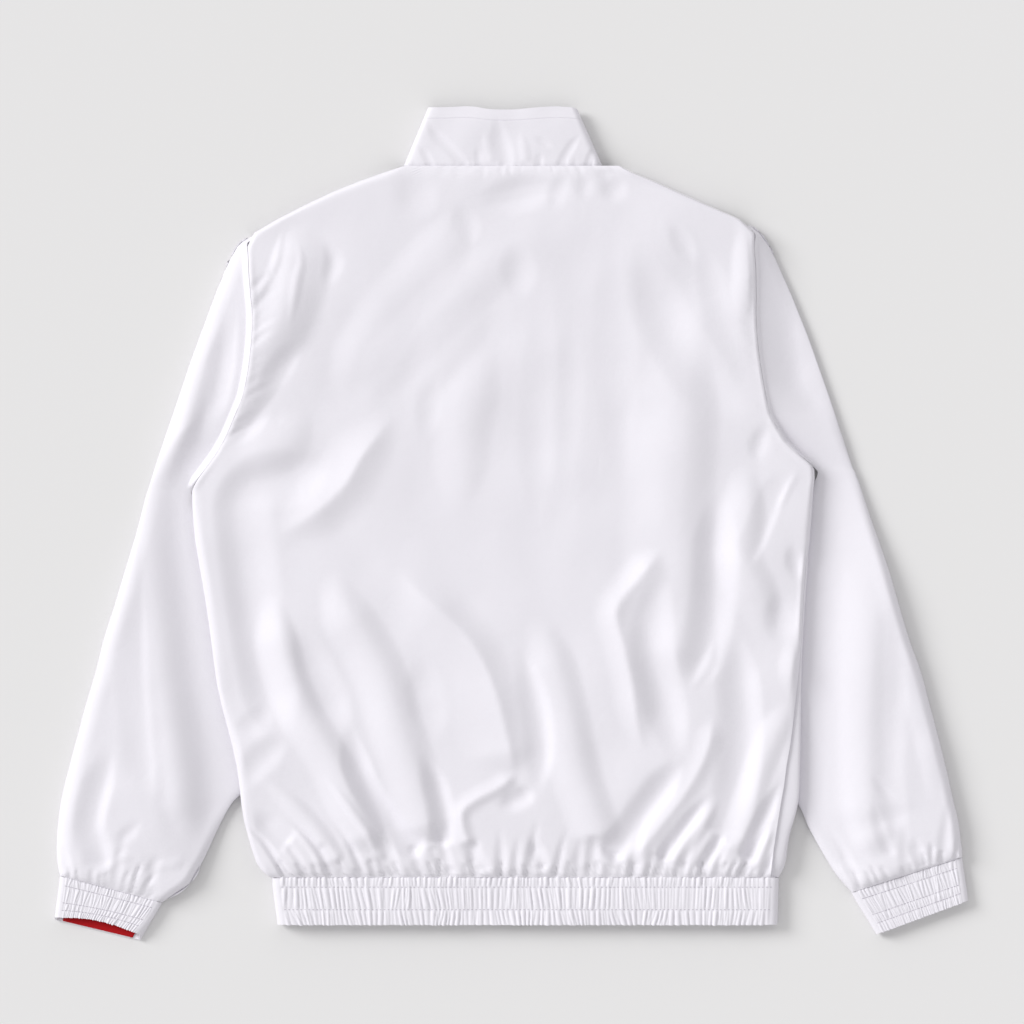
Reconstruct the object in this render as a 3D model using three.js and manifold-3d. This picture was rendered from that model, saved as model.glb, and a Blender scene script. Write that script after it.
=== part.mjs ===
import * as THREE from "three";
import Module from "manifold-3d";

// A jacket laid on its front, sleeves folded down beneath its sides. Millimetres:
// X to the right and Y to the collar as it lies, Z up from the surface it lies on.

const GAP = 0.3; // between pieces that are sewn to each other
const WALL = 1.2; // shell cloth
const BAND_WALL = 1.8; // hem band and cuffs, doubled over elastic
const COLLAR_WALL = 1.6;
const LINING_WALL = 0.8;

const BACK_HEIGHT = 19; // outer face of the back over the middle
const ARMHOLE_HEIGHT = 15.5; // outer face at each kind of edge
const SHOULDER_HEIGHT = 9;
const SIDE_HEIGHT = 13;
const SIDE_RISE = 6; // how much higher the side seam sits where the front shows beyond it
const NECK_HEIGHT = 14.5;
const HEM_HEIGHT = 13;
const CUFF_HEIGHT = 9.5;
const SLEEVE_HEIGHT = 15.5;
const SLEEVE_UNDER_BODY = 6.4; // sleeve's upper layer where the body lies on it
const SLEEVE_EDGE = 4.8; // the fold at a sleeve's outer edge
const SLEEVE_SEAM = 4.2; // upper layer at the underarm seam of a sleeve
const FRONT_OVER_SLEEVE = 7; // lower face of a front where it lies on a sleeve
const LAP_GAP = 0.5; // between a front and the back that laps over it

const NECK_ROLL = 12; // widths over which the cloth rounds down to an edge
const SHOULDER_ROLL = 18;
const ARMHOLE_ROLL = 16;
const SIDE_ROLL = 14;
const HEM_ROLL = 18;
const SLEEVE_ROLL = 14;
const CUFF_ROLL = 22;
const FOLD_FADE = 14; // folds die out over this width at a seam

const ZIP_X = 5; // centre line of the zip
const ZIP_HALF_GAP = 6; // from the centre line to a front's edge
const ZIP_LIFT = 4.8; // lower face of the fronts beside the zip
const ZIP_LIFT_WIDTH = 34;

// Turns rows of numbers into records with named columns.
const table = (names, rows) =>
  rows.map((row) => Object.fromEntries(names.map((name, i) => [name, row[i]])));

const BODY = table(
  ["y", "left", "right", "front"], // front: edge of the right front where it shows
  [
    [332.5, -99.7, 101, 100],
    [326, -119.5, 113.5, 112],
    [318, -142, 133, 132],
    [308, -167, 155, 154],
    [296, -192, 182, 181],
    [283, -217.5, 212.5, 211],
    [270, -239.5, 226, 225],
    [258, -245.3, 225.5, 225],
    [247, -244.3, 226.2, 225],
    [236, -244, 227, 226],
    [212, -242, 227.3, 226],
    [196, -240.4, 227.2, 226],
    [180, -240.5, 227.9, 227],
    [164, -241.7, 229.2, 228],
    [148, -243.5, 231.3, 230],
    [132, -246.2, 233.9, 233],
    [117, -249.5, 236.8, 236],
    [103, -255.5, 239.6, 239],
    [90, -261, 245.9, 245],
    [77, -267, 253.8, 253],
    [64, -274.6, 267, 266],
    [52, -283.3, 281.5, 280.5],
    [41, -291.7, 281.9, 281],
    [31, -297, 280.6, 279.6],
    [16, -296.6, 279.6, 278.6],
    [0, -295.6, 278.5, 277.7],
    [-17, -294, 277.2, 277.2],
    [-36, -290.7, 273.5, 275.7],
    [-55, -287.4, 272, 274],
    [-74, -284.2, 270.7, 273],
    [-93, -281.4, 269.9, 271.7],
    [-112, -278.8, 269.1, 270.8],
    [-131, -276.4, 267.6, 270],
    [-150, -273.6, 265.6, 269.4],
    [-169, -269.5, 263.4, 269],
    [-188, -264.4, 261.3, 268.8],
    [-207, -259.4, 258.8, 268.5],
    [-225, -255.6, 255.5, 267.8],
    [-243, -253, 253.3, 266.9],
    [-260, -251.2, 250.3, 265.8],
    [-276, -248.8, 247.7, 262.5],
    [-291, -244.8, 245.4, 258],
    [-305, -240.7, 243.3, 255.9],
    [-316, -236.8, 241.9, 254.4],
    [-324, -231, 241.2, 250.7],
    [-329, -223.5, 240.8, 248.6],
  ],
);
const NECK_Y = 332.5;
const HEM_Y = -329;
const UNDERARM = { left: 31, right: 52 };
const SHOULDER_END = { left: 258, right: 270 };

// Sleeves from the shoulder to the cuff: outer fold, then the inner end of the upper layer.
const SLEEVES = {
  left: table(
    ["outerX", "outerY", "innerX", "innerY"],
    [
      [-253.5, 260.5, -246.6, 260.5],
      [-254.8, 258, -245.3, 258],
      [-261.2, 247, -244.3, 247],
      [-266.4, 236, -244, 236],
      [-276, 212, -242, 212],
      [-281.9, 196, -240.4, 196],
      [-287.9, 180, -240.5, 180],
      [-293.8, 164, -241.7, 164],
      [-299.6, 148, -243.5, 148],
      [-304.9, 132, -246.2, 132],
      [-309.9, 117, -249.5, 117],
      [-314.7, 103, -255.5, 103],
      [-319.2, 90, -261, 90],
      [-323.6, 77, -267, 77],
      [-328, 64, -274.6, 64],
      [-331.8, 52, -283.3, 52],
      [-335.2, 41, -291.7, 41],
      [-338.3, 31, -297, 31],
      [-340, 26, -299.5, 25],
      [-342.4, 17, -293, 14],
      [-350, -12, -276, -18],
      [-361, -48, -250, -56],
      [-370, -78, -235, -88],
      [-379.5, -108, -223, -120],
      [-387, -138, -215, -150],
      [-396, -168, -212, -180],
      [-404, -198, -219, -212],
      [-412, -228, -236, -240],
      [-418.5, -255, -258, -258],
      [-421.8, -278, -272, -282],
      [-423.2, -300, -286, -312],
      [-422.4, -316, -300, -336],
      [-420.3, -327.5, -325, -352.4],
    ],
  ),
  right: table(
    ["outerX", "outerY", "innerX", "innerY"],
    [
      [231.2, 269.8, 226, 269.8],
      [239.8, 258, 225.5, 258],
      [245.2, 247, 226.2, 247],
      [250, 236, 227, 236],
      [260.6, 212, 227.3, 212],
      [267.1, 196, 227.2, 196],
      [273.6, 180, 227.9, 180],
      [279.5, 164, 229.2, 164],
      [285.1, 148, 231.3, 148],
      [290.8, 132, 233.9, 132],
      [296, 117, 236.8, 117],
      [300.7, 103, 239.6, 103],
      [304.9, 90, 245.9, 90],
      [309.2, 77, 253.8, 77],
      [313.4, 64, 267, 64],
      [317.5, 52, 281.5, 52],
      [320, 47, 284.5, 46],
      [323.4, 38, 279, 34],
      [334, 6, 258, 0],
      [350, -40, 236, -50],
      [360, -74, 226, -84],
      [369.5, -106, 219, -117],
      [380.5, -137, 216, -150],
      [389, -168, 220, -182],
      [397, -198, 232, -212],
      [404.5, -228, 248, -238],
      [411, -257, 267, -262],
      [415.8, -278, 277, -284],
      [418.3, -297, 291, -309],
      [419.4, -306, 303, -328],
      [419.5, -310.3, 316.3, -343],
    ],
  ),
};

// Folds of the back: how high each ridge stands or trough sinks, half its width, its line.
const BACK_FOLDS = table(
  ["height", "reach", "line"],
  [
    [-4, 24, [[-155, 250], [-180, 170], [-245, 105]]],
    [4, 20, [[-75, 245], [-120, 190], [-165, 120]]],
    [5, 22, [[-245, -5], [-170, 45], [-115, 110]]],
    [-3, 18, [[-115, 95], [-150, 30], [-200, -20]]],
    [-4, 16, [[-270, 40], [-265, -60], [-240, -160]]],
    [4.5, 17, [[-225, -50], [-215, -110], [-190, -190], [-150, -260], [-120, -310]]],
    [4.5, 17, [[-215, -40], [-150, -110], [-110, -190], [-80, -260], [-60, -320]]],
    [-3, 14, [[-200, -90], [-150, -190]]],
    [-3.5, 14, [[-150, -50], [-125, -100], [-95, -200]]],
    [-3.5, 13, [[-140, -200], [-130, -250], [-90, -310]]],
    [-3, 14, [[-65, -150], [-60, -280]]],
    [5, 17, [[-80, -80], [-30, -150], [0, -235]]],
    [-5, 17, [[-50, -60], [-10, -120], [15, -190], [0, -265]]],
    [4.5, 17, [[-10, -60], [30, -130], [60, -220], [85, -290]]],
    [-4, 17, [[135, -25], [95, -80], [120, -130], [130, -190]]],
    [4, 15, [[130, 0], [140, -80], [155, -160], [165, -230]]],
    [-3, 14, [[165, 50], [165, -20], [175, -100], [160, -150]]],
    [3.5, 15, [[190, 0], [205, -100]]],
    [4, 15, [[185, -150], [170, -220], [100, -310]]],
    [-3.5, 14, [[190, -120], [200, -220]]],
    [4, 14, [[255, -160], [230, -220], [205, -290]]],
    [-4.5, 13, [[150, -230], [80, -310]]],
    [-4.5, 13, [[190, -250], [150, -310]]],
    [-4, 12, [[240, -240], [215, -300]]],
    [-3.5, 22, [[140, 190], [165, 140], [230, 100]]],
    [-3, 20, [[175, 250], [190, 190], [225, 130]]],
    [-1.5, 24, [[25, 200], [22, 40]]],
    [-1.5, 24, [[90, 200], [85, 20]]],
    [-2.5, 18, [[0, 325], [0, 240]]],
    [-4, 15, [[225, 100], [215, -35]]],
    [4, 12, [[268, 53], [240, 5]]],
  ],
);
const SLEEVE_FOLDS = table(
  ["height", "reach", "line"],
  [
    [-3, 16, [[-275, 190], [-298, 60], [-318, -40], [-312, -200], [-300, -290]]],
    [3, 16, [[-335, -100], [-325, -290], [-310, -325]]],
    [-3, 15, [[-380, -230], [-395, -285]]],
    [3, 15, [[-390, -150], [-372, -240], [-372, -300]]],
    [2.5, 9, [[-252, 209], [-251, 148], [-266, 92]]],
    [3, 16, [[310, -30], [312, -220], [318, -300]]],
    [-3.5, 16, [[335, -80], [345, -260], [352, -310]]],
    [3, 16, [[360, -120], [378, -220], [380, -300]]],
    [-2.5, 14, [[262, 130], [290, 20], [296, -60]]],
  ],
);

const clamp = (t) => Math.min(1, Math.max(0, t));
const smooth = (t) => clamp(t) ** 2 * (3 - 2 * clamp(t));
const mix = (a, b, t) => a + (b - a) * t;
// Quarter round: 0 at the edge of the cloth, 1 once it is level.
const round = (t) => Math.sqrt(1 - (1 - clamp(t)) ** 2);

// Column `name` of a table at a key between two of its rows, keys falling or rising.
function read(rows, key, value, name) {
  const rising = rows[rows.length - 1][key] > rows[0][key];
  const past = (row) => (rising ? row[key] >= value : row[key] <= value);
  const i = Math.max(1, rows.findIndex(past));
  const next = past(rows[i]) ? i : rows.length - 1;
  const [a, b] = [rows[next - 1], rows[next]];
  return mix(a[name], b[name], clamp((value - a[key]) / (b[key] - a[key])));
}

// Nearest point of a line of [x, y] points: its distance and its share of the way along.
function nearest(line, x, y) {
  let best = { distance: Infinity, along: 0, x: 0, y: 0 };
  for (let i = 0; i + 1 < line.length; i++) {
    const [ax, ay] = line[i];
    const [dx, dy] = [line[i + 1][0] - ax, line[i + 1][1] - ay];
    const t = clamp(((x - ax) * dx + (y - ay) * dy) / (dx * dx + dy * dy));
    const [px, py] = [ax + dx * t, ay + dy * t];
    const distance = Math.hypot(x - px, y - py);
    if (distance < best.distance)
      best = { distance, along: (i + t) / (line.length - 1), x: px, y: py };
  }
  return best;
}

const END_TAPER = 0.22; // share of a fold's length over which it rises from nothing

// Height that a table of folds adds at a point.
function foldHeight(folds, x, y) {
  let sum = 0;
  for (const fold of folds) {
    const { distance, along } = nearest(fold.line, x, y);
    const across = distance / fold.reach;
    if (across >= 1) continue;
    const ends = smooth(along / END_TAPER) * smooth((1 - along) / END_TAPER);
    sum += fold.height * (1 - across * across) ** 2 * ends;
  }
  return sum;
}

// Height of a surface that is `full` inside and rounds down to each of its edges.
// Each edge: its line, the height there (a number or a function of the point), its width.
function domed(full, edges, x, y) {
  let height = full;
  for (const { line, at, width } of edges) {
    const near = nearest(line, x, y);
    if (near.distance >= width) continue;
    const low = typeof at === "function" ? at(near) : at;
    height = Math.min(height, mix(low, Math.max(full, low), round(near.distance / width)));
  }
  return height;
}

const rowsBetween = (top, bottom) => BODY.filter((row) => row.y <= top && row.y >= bottom);
const edgeLine = (side, top, bottom) => rowsBetween(top, bottom).map((r) => [r[side], r.y]);

// How high the right side seam sits: higher the more the front shows beyond it.
function sideSeamHeight(y) {
  const shows = Math.max(0, read(BODY, "y", y, "front") - read(BODY, "y", y, "right"));
  return SIDE_HEIGHT + SIDE_RISE * round(shows / SIDE_ROLL);
}

const BACK_EDGES = [
  { line: edgeLine("left", NECK_Y, SHOULDER_END.left), at: SHOULDER_HEIGHT, width: SHOULDER_ROLL },
  { line: edgeLine("right", NECK_Y, SHOULDER_END.right), at: SHOULDER_HEIGHT, width: SHOULDER_ROLL },
  { line: edgeLine("left", SHOULDER_END.left, UNDERARM.left), at: ARMHOLE_HEIGHT, width: ARMHOLE_ROLL },
  { line: edgeLine("right", SHOULDER_END.right, UNDERARM.right), at: ARMHOLE_HEIGHT, width: ARMHOLE_ROLL },
  { line: edgeLine("left", UNDERARM.left, HEM_Y), at: SIDE_HEIGHT, width: SIDE_ROLL },
  { line: edgeLine("right", UNDERARM.right, HEM_Y), at: (p) => sideSeamHeight(p.y), width: SIDE_ROLL },
  { line: [[-99.7, NECK_Y], [101, NECK_Y]], at: NECK_HEIGHT, width: NECK_ROLL },
  { line: [[-223.5, HEM_Y], [240.8, HEM_Y]], at: HEM_HEIGHT, width: HEM_ROLL },
];
const BACK_OUTLINE = [
  ...edgeLine("left", NECK_Y, HEM_Y),
  ...edgeLine("right", NECK_Y, HEM_Y).reverse(),
  [-99.7, NECK_Y],
];

function backHeight(x, y) {
  const fade = smooth(nearest(BACK_OUTLINE, x, y).distance / FOLD_FADE);
  return domed(BACK_HEIGHT + foldHeight(BACK_FOLDS, x, y) * fade, BACK_EDGES, x, y);
}

// Closed wall from a grid of points on its outer side.
// out: which way the grid's normal points out of the cloth (1 or -1), or "up" or "down"
// for a wall measured straight along Z. relief(i, j) raises the outer points alone.
function cloth({ grid, wall, out, relief = () => 0, endsUpright = false }) {
  const [rows, cols] = [grid.length, grid[0].length];
  const wallOf = typeof wall === "function" ? wall : () => wall;
  const at = (i, j) => grid[Math.min(rows - 1, Math.max(0, i))][Math.min(cols - 1, Math.max(0, j))];
  const points = [];
  const normalAt = (i, j) => {
    if (out === "up") return new THREE.Vector3(0, 0, 1);
    if (out === "down") return new THREE.Vector3(0, 0, -1);
    const along = at(i, j + 1).clone().sub(at(i, j - 1));
    const down = at(i + 1, j).clone().sub(at(i - 1, j));
    const n = along.cross(down).multiplyScalar(out);
    if (endsUpright && (i === 0 || j === 0 || j === cols - 1)) n.set(0, 0, Math.sign(n.z) || 1);
    return n.normalize();
  };
  for (const layer of ["outer", "inner"])
    for (let i = 0; i < rows; i++)
      for (let j = 0; j < cols; j++) {
        const shift = layer === "outer" ? relief(i, j) : -wallOf(i, j);
        points.push(at(i, j).clone().addScaledVector(normalAt(i, j), shift));
      }
  const id = (layer, i, j) => layer * rows * cols + i * cols + j;
  const faces = [];
  const quad = (a, b, c, d) => faces.push([a, b, c], [a, c, d]);
  for (let i = 0; i + 1 < rows; i++)
    for (let j = 0; j + 1 < cols; j++) {
      quad(id(0, i, j), id(0, i + 1, j), id(0, i + 1, j + 1), id(0, i, j + 1));
      quad(id(1, i, j), id(1, i, j + 1), id(1, i + 1, j + 1), id(1, i + 1, j));
    }
  for (let j = 0; j + 1 < cols; j++) {
    quad(id(0, 0, j), id(0, 0, j + 1), id(1, 0, j + 1), id(1, 0, j));
    quad(id(0, rows - 1, j + 1), id(0, rows - 1, j), id(1, rows - 1, j), id(1, rows - 1, j + 1));
  }
  for (let i = 0; i + 1 < rows; i++) {
    quad(id(0, i + 1, 0), id(0, i, 0), id(1, i, 0), id(1, i + 1, 0));
    quad(id(0, i, cols - 1), id(0, i + 1, cols - 1), id(1, i + 1, cols - 1), id(1, i, cols - 1));
  }
  return geometryOf(points, faces);
}

// Buffer geometry from points and faces, turned so that its faces point outwards.
function geometryOf(points, faces) {
  let volume = 0;
  for (const [a, b, c] of faces)
    volume += points[a].dot(points[b].clone().cross(points[c]));
  const turned = volume < 0 ? faces.map(([a, b, c]) => [a, c, b]) : faces;
  const geometry = new THREE.BufferGeometry();
  geometry.setAttribute("position", new THREE.Float32BufferAttribute(points.flatMap((p) => p.toArray()), 3));
  geometry.setIndex(turned.flat());
  geometry.computeVertexNormals();
  return geometry;
}

const point = (x, y, z) => new THREE.Vector3(x, y, z);

const EDGE_ROOM = 2.2; // a row holds at least this many of the widest edge offsets

// Positions from 0 to `length`: `edge` offsets at both ends, even steps between.
function spread(length, edge, steps) {
  const scale = Math.min(1, length / (EDGE_ROOM * edge[edge.length - 1]));
  const near = edge.map((e) => e * scale);
  const [from, to] = [near[near.length - 1], length - near[near.length - 1]];
  const middle = Array.from({ length: steps - 1 }, (_, k) => mix(from, to, (k + 1) / steps));
  return [...near, ...middle, ...near.map((e) => length - e).reverse()];
}

const BACK_EDGE_STEPS = [0, 2.5, 8];
const BACK_STEPS = 24;

function backPanel() {
  const grid = BODY.map(({ y, left, right }) =>
    spread(right - left, BACK_EDGE_STEPS, BACK_STEPS).map((d) =>
      point(left + d, y, backHeight(left + d, y)),
    ),
  );
  return cloth({ grid, wall: WALL, out: "up" });
}

const SIGN = { left: -1, right: 1 };
const SLEEVE_TOP = [1, 0.93, 0.8, 0.67, 0.54, 0.42, 0.3, 0.18]; // share of the width
const SLEEVE_TOP_EDGE = [9, 3, 0]; // then millimetres from the outer fold
const SLEEVE_TOP_EDGE_SHARE = 0.15; // the most that those millimetres take of a narrow row
const SLEEVE_BOTTOM = 0.5; // share of the width at which the lower layer has a column
const TURN_SHARE = 0.3; // share of the roll beneath at which it has one
const NARROW_ROLL = 0.12; // the most that the roll beneath takes of a row
const BODY_CLEAR = [12, 36]; // beyond the body's edge the sleeve rises between these distances
const INNER_ROLL = 8;
const BOTTOM_ROLL = 8;
const ARMHOLE_CUT = 12; // how much deeper the hidden front armhole is cut
const UNDERARM_RISE = 35; // length over which the hidden armhole rises to the underarm
const HIDDEN_SEAM_DROP = 1; // how far it stays below the back there

const sleeveLine = (side, end) => SLEEVES[side].map((r) => [r[end + "X"], r[end + "Y"]]);

// How far a point lies beyond the body's edge, measured along X.
const bodyEdge = (side, y) =>
  side === "left" ? read(BODY, "y", y, "left") : Math.max(read(BODY, "y", y, "right"), read(BODY, "y", y, "front"));
const beyondBody = (side, x, y) => SIGN[side] * (x - bodyEdge(side, y));

function sleeveTopHeight(side, x, y) {
  const outline = sleeveLine(side, "outer");
  const cuffEnd = SLEEVES[side][SLEEVES[side].length - 1];
  const edges = [
    { line: outline, at: SLEEVE_EDGE, width: SLEEVE_ROLL },
    {
      line: [[cuffEnd.outerX, cuffEnd.outerY], [cuffEnd.innerX, cuffEnd.innerY]],
      at: CUFF_HEIGHT,
      width: CUFF_ROLL,
    },
  ];
  const full = SLEEVE_HEIGHT + foldHeight(SLEEVE_FOLDS, x, y);
  if (y >= UNDERARM[side]) {
    const seam = edgeLine(side, SHOULDER_END[side], UNDERARM[side]);
    edges.push({ line: seam, at: (p) => backHeight(p.x, p.y), width: ARMHOLE_ROLL });
    return domed(full, edges, x, y);
  }
  const clear = smooth((beyondBody(side, x, y) - BODY_CLEAR[0]) / (BODY_CLEAR[1] - BODY_CLEAR[0]));
  const lower = SLEEVES[side].filter((r) => r.innerY < UNDERARM[side]);
  edges.push({ line: lower.map((r) => [r.innerX, r.innerY]), at: SLEEVE_SEAM, width: INNER_ROLL });
  return domed(mix(SLEEVE_UNDER_BODY, full, clear), edges, x, y);
}

// Height of the lower face at the hidden armhole, level with the floor but at the underarm.
function hiddenSeamHeight(side, y) {
  const rise = 1 - smooth((y - UNDERARM[side]) / UNDERARM_RISE);
  return (SIDE_HEIGHT - 2 * WALL - LAP_GAP - HIDDEN_SEAM_DROP) * rise;
}

function sleeveRow(side, row) {
  const { outerX, outerY, innerX, innerY } = row;
  const away = SIGN[side];
  const open = innerY >= UNDERARM[side];
  const endX = innerX + away * GAP;
  const width = Math.abs(endX - outerX);
  const top = (share) => {
    const [x, y] = [mix(outerX, endX, share), mix(outerY, innerY, share)];
    return point(x, y, sleeveTopHeight(side, x, y));
  };
  const shares = SLEEVE_TOP_EDGE.map((d) =>
    Math.min(d / width, (SLEEVE_TOP_EDGE_SHARE * d) / SLEEVE_TOP_EDGE[0]),
  );
  const line = [...SLEEVE_TOP, ...shares].map(top);
  const hidden = hiddenArmhole(side, Math.min(innerY, SHOULDER_END[side]));
  const lowX = open ? hidden.x + away * GAP : endX;
  const lowWidth = Math.abs(lowX - outerX);
  const rollShare = Math.min(NARROW_ROLL, BOTTOM_ROLL / lowWidth);
  const bottom = (share, z) => line.push(point(mix(outerX, lowX, share), mix(outerY, innerY, share), z));
  bottom(rollShare * TURN_SHARE, SLEEVE_EDGE * (1 - round(TURN_SHARE)));
  bottom(rollShare, 0);
  bottom(SLEEVE_BOTTOM, 0);
  bottom(1 - rollShare, 0);
  bottom(1, open ? hidden.z : SLEEVE_SEAM - WALL - GAP - WALL);
  return line;
}

function sleeve(side) {
  const grid = SLEEVES[side].map((row) => sleeveRow(side, row));
  return cloth({ grid, wall: WALL, out: side === "left" ? 1 : -1, endsUpright: true });
}

const FRONT_YS = [
  329, 318, 296, 270, 262, 247, 212, 180, 148, 117, 90, 64, 52, 31, 16, 0,
  -36, -74, -112, -150, -188, -225, -260, -291, -316, -329,
];
const SHOULDER_CORNER = 5; // above a shoulder's end the armhole of a front gives way to its shoulder
const FRONT_ROLL = { open: 12, shoulder: 24, side: 16 }; // widths over which a front's edge turns up
const FRONT_TUCK = 3; // how far a front reaches under the back at the side seam
const SIDE_TURNS = [-90, -15, 45, 90]; // degrees round the fold at the side
const OPEN_SHARES = [0, 0.25, 0.5, 0.75, 1]; // columns where the edge only turns up
const EDGE_LIFT = 0.6; // the fold at the side stands this far off what lies beneath it
const TURN_START = -60; // last of those degrees at the underarm
const TURN_GROWTH = 45; // length below it over which the fold closes
const ROLL_SHARE = { open: 0.3, shoulder: 0.6, side: 0.3 }; // the most that they take of a row
const ZIP_STEPS = [0, 11, 38]; // from a front's edge at the zip
const ZIP_STEPS_SHARE = 0.4; // the most that they take of a row
const FOLD_STEPS = [36, 25, 12]; // past a sleeve's hidden fold
const FOLD_SPACE = 5; // least distance between those columns, less in a row below this width
const NARROW_ROW = 90;
const ZIP_FLAT = 4; // level beside a front's edge before the cloth falls away from the zip
const SLEEVE_CLEAR = [14, 36]; // past a sleeve's hidden fold a front sinks to the floor
const NECK_DROP = table(
  ["y", "left", "right"], // hidden front neck, from the shoulders down to the zip
  [
    [329, -98.2, 87],
    [318, -95.3, 88.5],
    [296, -81, 83],
    [270, -42, 52],
    [262, ZIP_X - ZIP_HALF_GAP, ZIP_X + ZIP_HALF_GAP],
    [-340, ZIP_X - ZIP_HALF_GAP, ZIP_X + ZIP_HALF_GAP],
  ],
);

const zipLift = (x) =>
  ZIP_LIFT * (1 - smooth((Math.abs(x - ZIP_X) - ZIP_HALF_GAP - ZIP_FLAT) / ZIP_LIFT_WIDTH));

// X of a sleeve's hidden inner fold at a height; it runs off outwards above the underarm.
function innerFoldX(side, y) {
  const rows = SLEEVES[side].filter((r) => r.innerY <= UNDERARM[side]);
  if (y <= UNDERARM[side]) return read(rows, "innerY", y, "innerX");
  return read(rows, "innerY", UNDERARM[side], "innerX") + SIGN[side] * (y - UNDERARM[side]);
}

// Lower face of a front: on the floor, lifted over the zip and over a sleeve beneath.
function frontHeight(side, x, y) {
  const past = SIGN[side] * (innerFoldX(side, y) - x);
  const over = 1 - smooth((past - SLEEVE_CLEAR[0]) / (SLEEVE_CLEAR[1] - SLEEVE_CLEAR[0]));
  return Math.max(zipLift(x), FRONT_OVER_SLEEVE * over);
}

// The hidden seam of a front and its sleeve, straight between the rows of the front.
function hiddenArmhole(side, y) {
  const after = Math.max(1, FRONT_YS.findIndex((v) => v <= y));
  const [y0, y1] = [FRONT_YS[after - 1], FRONT_YS[after]];
  const at = (v) => read(BODY, "y", v, side) - SIGN[side] * ARMHOLE_CUT;
  const share = (y - y0) / (y1 - y0);
  return {
    x: mix(at(y0), at(y1), share),
    z: mix(hiddenSeamHeight(side, y0), hiddenSeamHeight(side, y1), share),
  };
}

function frontRow(side, y) {
  const away = SIGN[side];
  const start = read(NECK_DROP, "y", y, side);
  const open = y >= UNDERARM[side];
  const shoulder = y > SHOULDER_END[side] + SHOULDER_CORNER;
  const seam = read(BODY, "y", y, side);
  const free = side === "right" ? read(BODY, "y", y, "front") : seam + 1;
  const armhole = hiddenArmhole(side, y);
  const edge = shoulder ? seam - away : open ? armhole.x : free;
  const width = Math.abs(edge - start);
  const kind = shoulder ? "shoulder" : open ? "open" : "side";
  const roll = Math.min(FRONT_ROLL[kind], width * ROLL_SHARE[kind]);
  const flat = width - roll;
  const toFold = Math.abs(innerFoldX(side, y) - start);
  const lastZipStep = ZIP_STEPS[ZIP_STEPS.length - 1];
  const space = FOLD_SPACE * Math.min(1, width / NARROW_ROW);
  const steps = [
    ...ZIP_STEPS.map((d) => (d / lastZipStep) * Math.min(lastZipStep, flat * ZIP_STEPS_SHARE)),
    ...FOLD_STEPS.map((d, k) => Math.min(toFold - d, flat - space * (FOLD_STEPS.length - k))),
  ];
  const heightAt = (x) => (shoulder ? zipLift(x) : frontHeight(side, x, y));
  const line = steps.map((d) => point(start + away * d, y, heightAt(start + away * d)));
  if (open) {
    const low = heightAt(start + away * flat);
    const shoulderRise = (SHOULDER_HEIGHT - 2 * WALL - LAP_GAP) * (roll / FRONT_ROLL.shoulder);
    const rise = shoulder ? shoulderRise : armhole.z;
    for (const s of OPEN_SHARES)
      line.push(point(start + away * (flat + roll * s), y, mix(low, Math.max(low, rise), shoulder ? s : s * s)));
    return line;
  }
  const low = heightAt(edge) + EDGE_LIFT;
  const top = backHeight(seam, y) - WALL - LAP_GAP;
  const half = (top - low) / 2; // the fold is round, half as wide as it is high
  const last = mix(TURN_START, 90, smooth((UNDERARM[side] - y) / TURN_GROWTH));
  line.push(point(start + away * flat, y, heightAt(start + away * flat)));
  for (const step of SIDE_TURNS) {
    const turn = (mix(-90, last, (step + 90) / 180) * Math.PI) / 180;
    const x = edge - away * half * (1 - Math.cos(turn));
    const tucked = away * Math.min(away * x, away * seam - FRONT_TUCK);
    const share = step === 90 ? Math.max(0, last / 90) ** 2 : 0;
    line.push(point(mix(x, tucked, share), y, low + half + half * Math.sin(turn)));
  }
  return line;
}

function front(side) {
  const grid = FRONT_YS.map((y) => frontRow(side, y));
  return cloth({ grid, wall: WALL, out: side === "left" ? -1 : 1 });
}

// Gathers: the outer face of a band stands up in pleats, one crest and one hollow each.
const HOLLOW = 0.35; // depth of a hollow beside the height of a crest
const pleat = (j, deep) => (j % 2 === 0 ? deep : -deep * HOLLOW);

const HEM_ROWS = [
  { y: -329.4, left: -222.5, right: 248.8, deep: 0.9 },
  { y: -338, left: -222.3, right: 248.6, deep: 0.35 },
  { y: -351, left: -220.7, right: 248.1, deep: 1.0 },
  { y: -373, left: -217.7, right: 247.5, deep: 0.8 },
];
const HEM_PLEATS = 92;
const HEM_TURN = 6.2; // half the height of the folded band at its sides
const HEM_UNDER = [0.3, 0.65];
const TURN_STEPS = [60, 30, 0, -30, -60];

function hemRow({ y, left, right }) {
  const line = [];
  const turnAt = (x, away, degrees) => {
    const turn = (degrees * Math.PI) / 180;
    line.push(point(x + away * HEM_TURN * (Math.cos(turn) - 1), y, HEM_HEIGHT / 2 + (HEM_HEIGHT / 2) * Math.sin(turn)));
  };
  const under = (from, to, shares) =>
    shares.forEach((share) => line.push(point(mix(from, to, share), y, zipLift(mix(from, to, share)))));
  under(ZIP_X - ZIP_HALF_GAP, ZIP_X - ZIP_LIFT_WIDTH, [0, 0.5, 1]);
  under(ZIP_X - ZIP_LIFT_WIDTH, left + HEM_TURN, HEM_UNDER);
  [-90, ...[...TURN_STEPS].reverse()].forEach((degrees) => turnAt(left, -1, degrees));
  const [from, to] = [left + HEM_TURN, right - HEM_TURN];
  for (let k = 0; k <= 2 * HEM_PLEATS; k++)
    line.push(point(mix(from, to, k / (2 * HEM_PLEATS)), y, HEM_HEIGHT));
  [...TURN_STEPS, -90].forEach((degrees) => turnAt(right, 1, degrees));
  under(right - HEM_TURN, ZIP_X + ZIP_LIFT_WIDTH, HEM_UNDER);
  under(ZIP_X + ZIP_LIFT_WIDTH, ZIP_X + ZIP_HALF_GAP, [0, 0.5, 1]);
  return line;
}

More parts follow.
